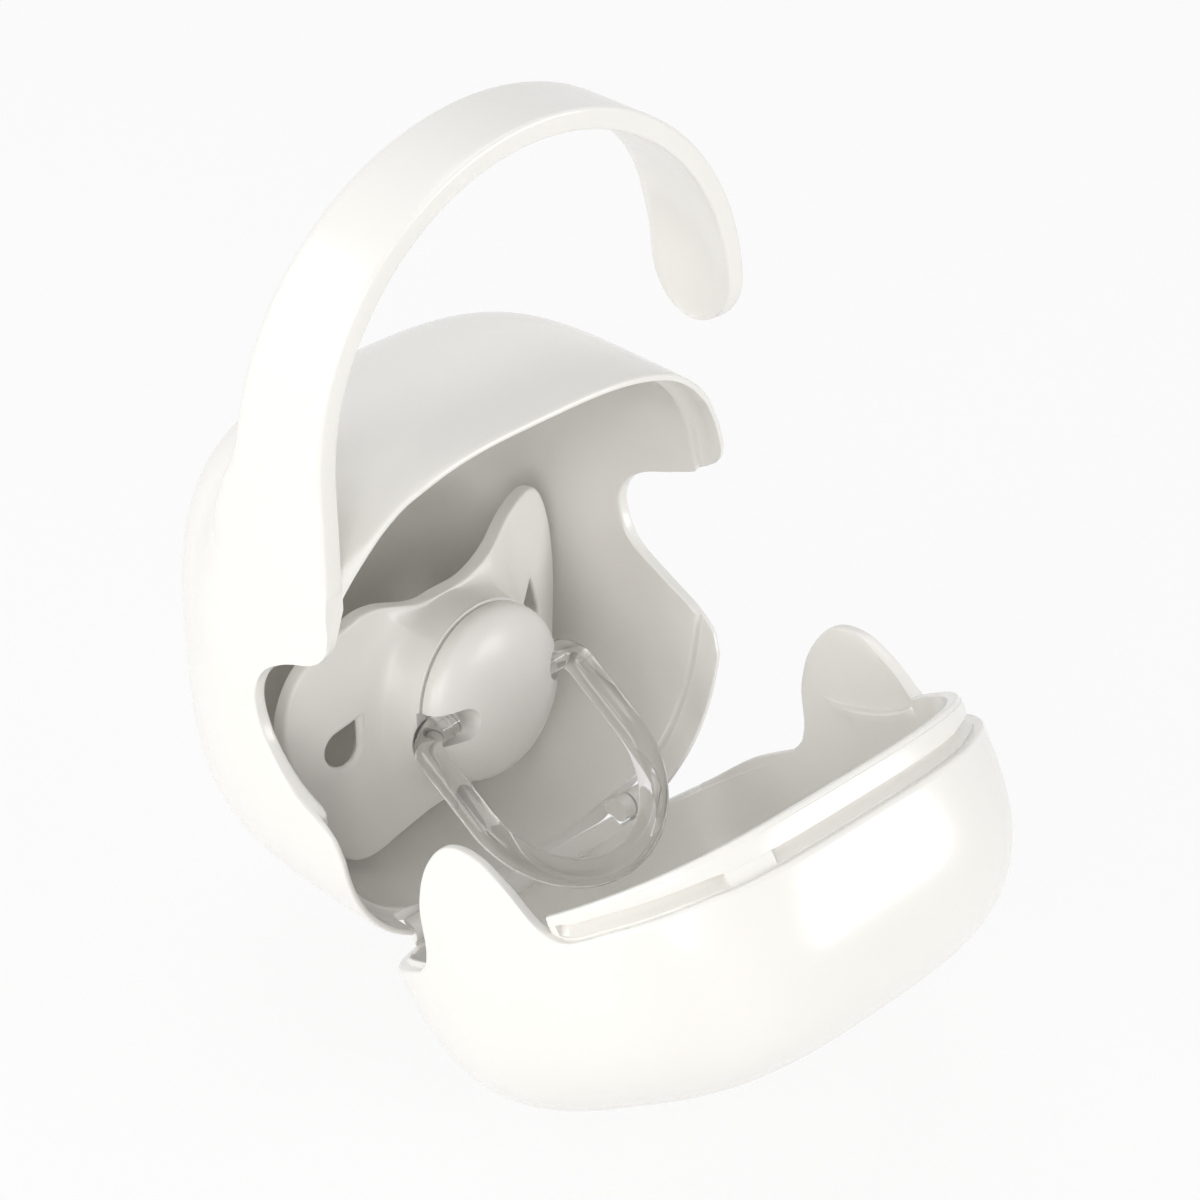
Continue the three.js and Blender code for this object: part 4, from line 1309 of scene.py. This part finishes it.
def seen_directly(tree):
    """One where a ray comes from the camera, a reflection or a clear piece."""
    path = add_node(tree, "ShaderNodeLightPath").outputs
    seen = path["Is Camera Ray"]
    for kind in ("Is Glossy Ray", "Is Transmission Ray"):
        seen = add_node(tree, "ShaderNodeMath", {0: seen, 1: path[kind]}, operation="MAXIMUM").outputs[0]
    return seen


def floor_material(tone, glow):
    """Pale floor that shows white, and keeps a soft shadow."""
    made, tree = new_material("stage_floor")
    amount = add_node(tree, "ShaderNodeMath", {0: seen_directly(tree), 1: glow}, operation="MULTIPLY")
    matt = add_node(tree, "ShaderNodeBsdfDiffuse", {"Color": (*tone, 1)})
    white = add_node(tree, "ShaderNodeEmission", {"Color": WHITE, "Strength": 1})
    parts = {0: amount.outputs[0], 1: matt.outputs[0], 2: white.outputs[0]}
    mix = add_node(tree, "ShaderNodeMixShader", parts)
    add_node(tree, "ShaderNodeOutputMaterial", {0: mix.outputs[0]})
    return made


def add_floor(scene):
    """A wide floor just below the object's lowest point."""
    half, level = 1.6, cad_box[0][2] - 0.0001
    mesh = bpy.data.meshes.new("floor")
    corners = ((-half, -half), (half, -half), (half, half), (-half, half))
    mesh.from_pydata([(x, y, level) for x, y in corners], [], [(0, 1, 2, 3)])
    mesh.materials.append(floor_material(scene.finish_colours.floor, scene.stage_settings.floor_glow))
    return new_object("floor", mesh)


def add_world(scene):
    """White all round where it is seen directly, and dimmer as a light."""
    world = bpy.data.worlds.new("soft_surround")
    scene.world = world
    world.use_nodes = True
    tree = world.node_tree
    tree.nodes.clear()
    levels = {"Value": seen_directly(tree), "To Min": scene.stage_settings.ambient, "To Max": 1}
    strength = add_node(tree, "ShaderNodeMapRange", levels).outputs["Result"]
    back = add_node(tree, "ShaderNodeBackground", {"Color": WHITE, "Strength": strength})
    add_node(tree, "ShaderNodeOutputWorld", {0: back.outputs[0]})


def add_camera(scene):
    """The camera, round its target by azimuth and elevation, then rolled."""
    stage = scene.stage_settings
    camera = bpy.data.cameras.new("photo_camera")
    camera.lens = stage.lens
    camera.sensor_width = 36
    camera.clip_start = 0.01
    viewer = bpy.data.objects.new("photo_camera", camera)
    scene.collection.objects.link(viewer)
    flat = math.cos(stage.camera_elevation)
    way = Vector((
        math.sin(stage.camera_azimuth) * flat,
        -math.cos(stage.camera_azimuth) * flat,
        math.sin(stage.camera_elevation),
    ))
    level = (-way).to_track_quat("-Z", "Y").to_matrix().to_4x4()
    at = Matrix.Translation(Vector(stage.target) + way * stage.camera_distance)
    viewer.matrix_world = at @ level @ Matrix.Rotation(stage.camera_roll, 4, "Z")
    scene.camera = viewer


# Operators


class PACCASE_OT_rear_shell(bpy.types.Operator):
    """Rear shell with its rebated rim, hook, hinge room and the two inner knuckles"""

    bl_idname = "paccase.rear_shell"
    bl_label = "Rear shell"

    def execute(self, context):
        case = sizes()
        root_depth, web_back = 0.0004, 0.0034
        lines = (SideLine(PARTING_SHARES), SideLine(RIGHT_REAR_SHARES))
        hook = add_hook()
        cut(hook, solid_form("wall_core", root_depth))
        cut(hook, front_space(case.gap / 2))
        shell = add_shell("rear_shell_moulding", lines, case.gap / 2, 1, rear_inner_rows, spread_to_band)
        cut(shell, hinge_room())
        spans = both_sides(case.rear_knuckle_near, case.rear_knuckle_far)
        depth, height = hinge_axis()
        low, high = height - case.barrel_radius + 0.0001, height - 0.0002
        gather(shell, hook, *add_hinge_half("rear", spans, depth, depth + web_back, low, high))
        place(shell, case_place())
        finish(shell, material("case_gloss"), "case", "rear_shell")
        return {"FINISHED"}


class PACCASE_OT_lid(bpy.types.Operator):
    """Lid with its ears, lips and the two outer knuckles"""

    bl_idname = "paccase.lid"
    bl_label = "Lid"

    def execute(self, context):
        case = sizes()
        web_front = 0.0029
        line = SideLine(PARTING_SHARES)
        lid = add_shell("lid_shell_moulding", (line, line), -case.gap / 2, -1, lid_inner_rows)
        depth, height = hinge_axis()
        middle = (case.rear_knuckle_near + case.rear_knuckle_far) / 2
        half = (case.rear_knuckle_far - case.rear_knuckle_near) / 2 + case.gap
        for side in (-1, 1):
            room = bar_along_x("knuckle_room", case.knuckle_clear, half, depth, height, side * middle)
            cut(lid, room)
        spans = both_sides(case.rear_knuckle_far + case.gap, case.lid_knuckle_far)
        low, high = height - case.barrel_radius + 0.0001, height + 0.0002
        hinge = add_hinge_half("lid", spans, depth - web_front, depth, low, high)
        gather(lid, *hinge, add_top_lip(), add_side_lip(-1), add_side_lip(1), add_hinge_lip())
        place(lid, lid_place())
        finish(lid, material("case_gloss"), "lid", "lid_shell")
        return {"FINISHED"}


class PACCASE_OT_hinge_pin(bpy.types.Operator):
    """Finish of the two hinge pins, which keep their CAD shape"""

    bl_idname = "paccase.hinge_pin"
    bl_label = "Hinge pins"

    def execute(self, context):
        for name in ("hinge_pin_left", "hinge_pin_right"):
            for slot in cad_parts[name].material_slots:
                slot.material = material("pin_drawn")
        return {"FINISHED"}


class PACCASE_OT_pacifier(bpy.types.Operator):
    """Shield, button, ring, teat and plug of the pacifier"""

    bl_idname = "paccase.pacifier"
    bl_label = "Pacifier"

    def execute(self, context):
        made = (
            (add_shield(), "shield_satin", "case", "pacifier_shield"),
            (add_button(), "shield_satin", "case", "pacifier_button"),
            (add_ring(), "ring_clear", "ring", "pacifier_ring"),
            (add_teat(), "teat_silicone", "case", "pacifier_teat"),
            (add_plug(), "shield_satin", "case", "pacifier_plug"),
        )
        for piece, tone, body, node in made:
            place(piece, pacifier_place())
            finish(piece, material(tone), body, node)
        return {"FINISHED"}


class PACCASE_OT_stage(bpy.types.Operator):
    """Pale floor, soft lamps and the camera at the photograph's angle"""

    bl_idname = "paccase.stage"
    bl_label = "Stage"

    def execute(self, context):
        scene = context.scene
        stage = scene.stage_settings
        floor = add_floor(scene)
        warm, warmer, plain = (1, 0.99, 0.975), (1, 0.985, 0.96), (1, 1, 1)
        for lamp in (
            ("key_lamp", (-0.62, -0.50, 0.34), 0.5, stage.key_power, warmer),
            ("side_lamp", (-0.8, 0.02, 0.22), 0.5, stage.side_power, warm),
            ("fill_lamp", (0.42, -0.7, 0.12), 0.4, stage.fill_power, warm),
            ("top_lamp", (0.1, 0.15, 0.8), 0.7, stage.top_power, plain),
            ("back_lamp", (-0.5, 0.6, 0.35), 0.5, stage.back_power, plain),
        ):
            add_lamp(*lamp, aim=(0, -0.01, 0.03))
        add_world(scene)
        add_camera(scene)
        scene.view_settings.view_transform = "Standard"
        return {"FINISHED"}


class PACCASE_PT_panel(bpy.types.Panel):
    """The case's pieces, in the order in which they are made"""

    bl_label = "Pacifier Case"
    bl_idname = "PACCASE_PT_panel"
    bl_space_type = "VIEW_3D"
    bl_region_type = "UI"
    bl_category = "Pacifier Case"

    def draw(self, context):
        for operator in OPERATORS:
            self.layout.operator(operator.bl_idname)


GROUPS = {
    "case_sizes": CaseSizes,
    "hook_sizes": HookSizes,
    "pacifier_sizes": PacifierSizes,
    "finish_colours": FinishColours,
    "stage_settings": StageSettings,
}
OPERATORS = (
    PACCASE_OT_stage,
    PACCASE_OT_rear_shell,
    PACCASE_OT_lid,
    PACCASE_OT_hinge_pin,
    PACCASE_OT_pacifier,
)


def register():
    for group in GROUPS.values():
        bpy.utils.register_class(group)
    for name, group in GROUPS.items():
        setattr(bpy.types.Scene, name, PointerProperty(type=group))
    for operator in OPERATORS:
        bpy.utils.register_class(operator)
    bpy.utils.register_class(PACCASE_PT_panel)


def unregister():
    bpy.utils.unregister_class(PACCASE_PT_panel)
    for operator in reversed(OPERATORS):
        bpy.utils.unregister_class(operator)
    for name in GROUPS:
        delattr(bpy.types.Scene, name)
    for group in reversed(list(GROUPS.values())):
        bpy.utils.unregister_class(group)


def build_case():
    register()
    bpy.ops.paccase.stage()
    bpy.ops.paccase.rear_shell()
    bpy.ops.paccase.lid()
    bpy.ops.paccase.hinge_pin()
    bpy.ops.paccase.pacifier()


if __name__ == "__main__":
    build_case()
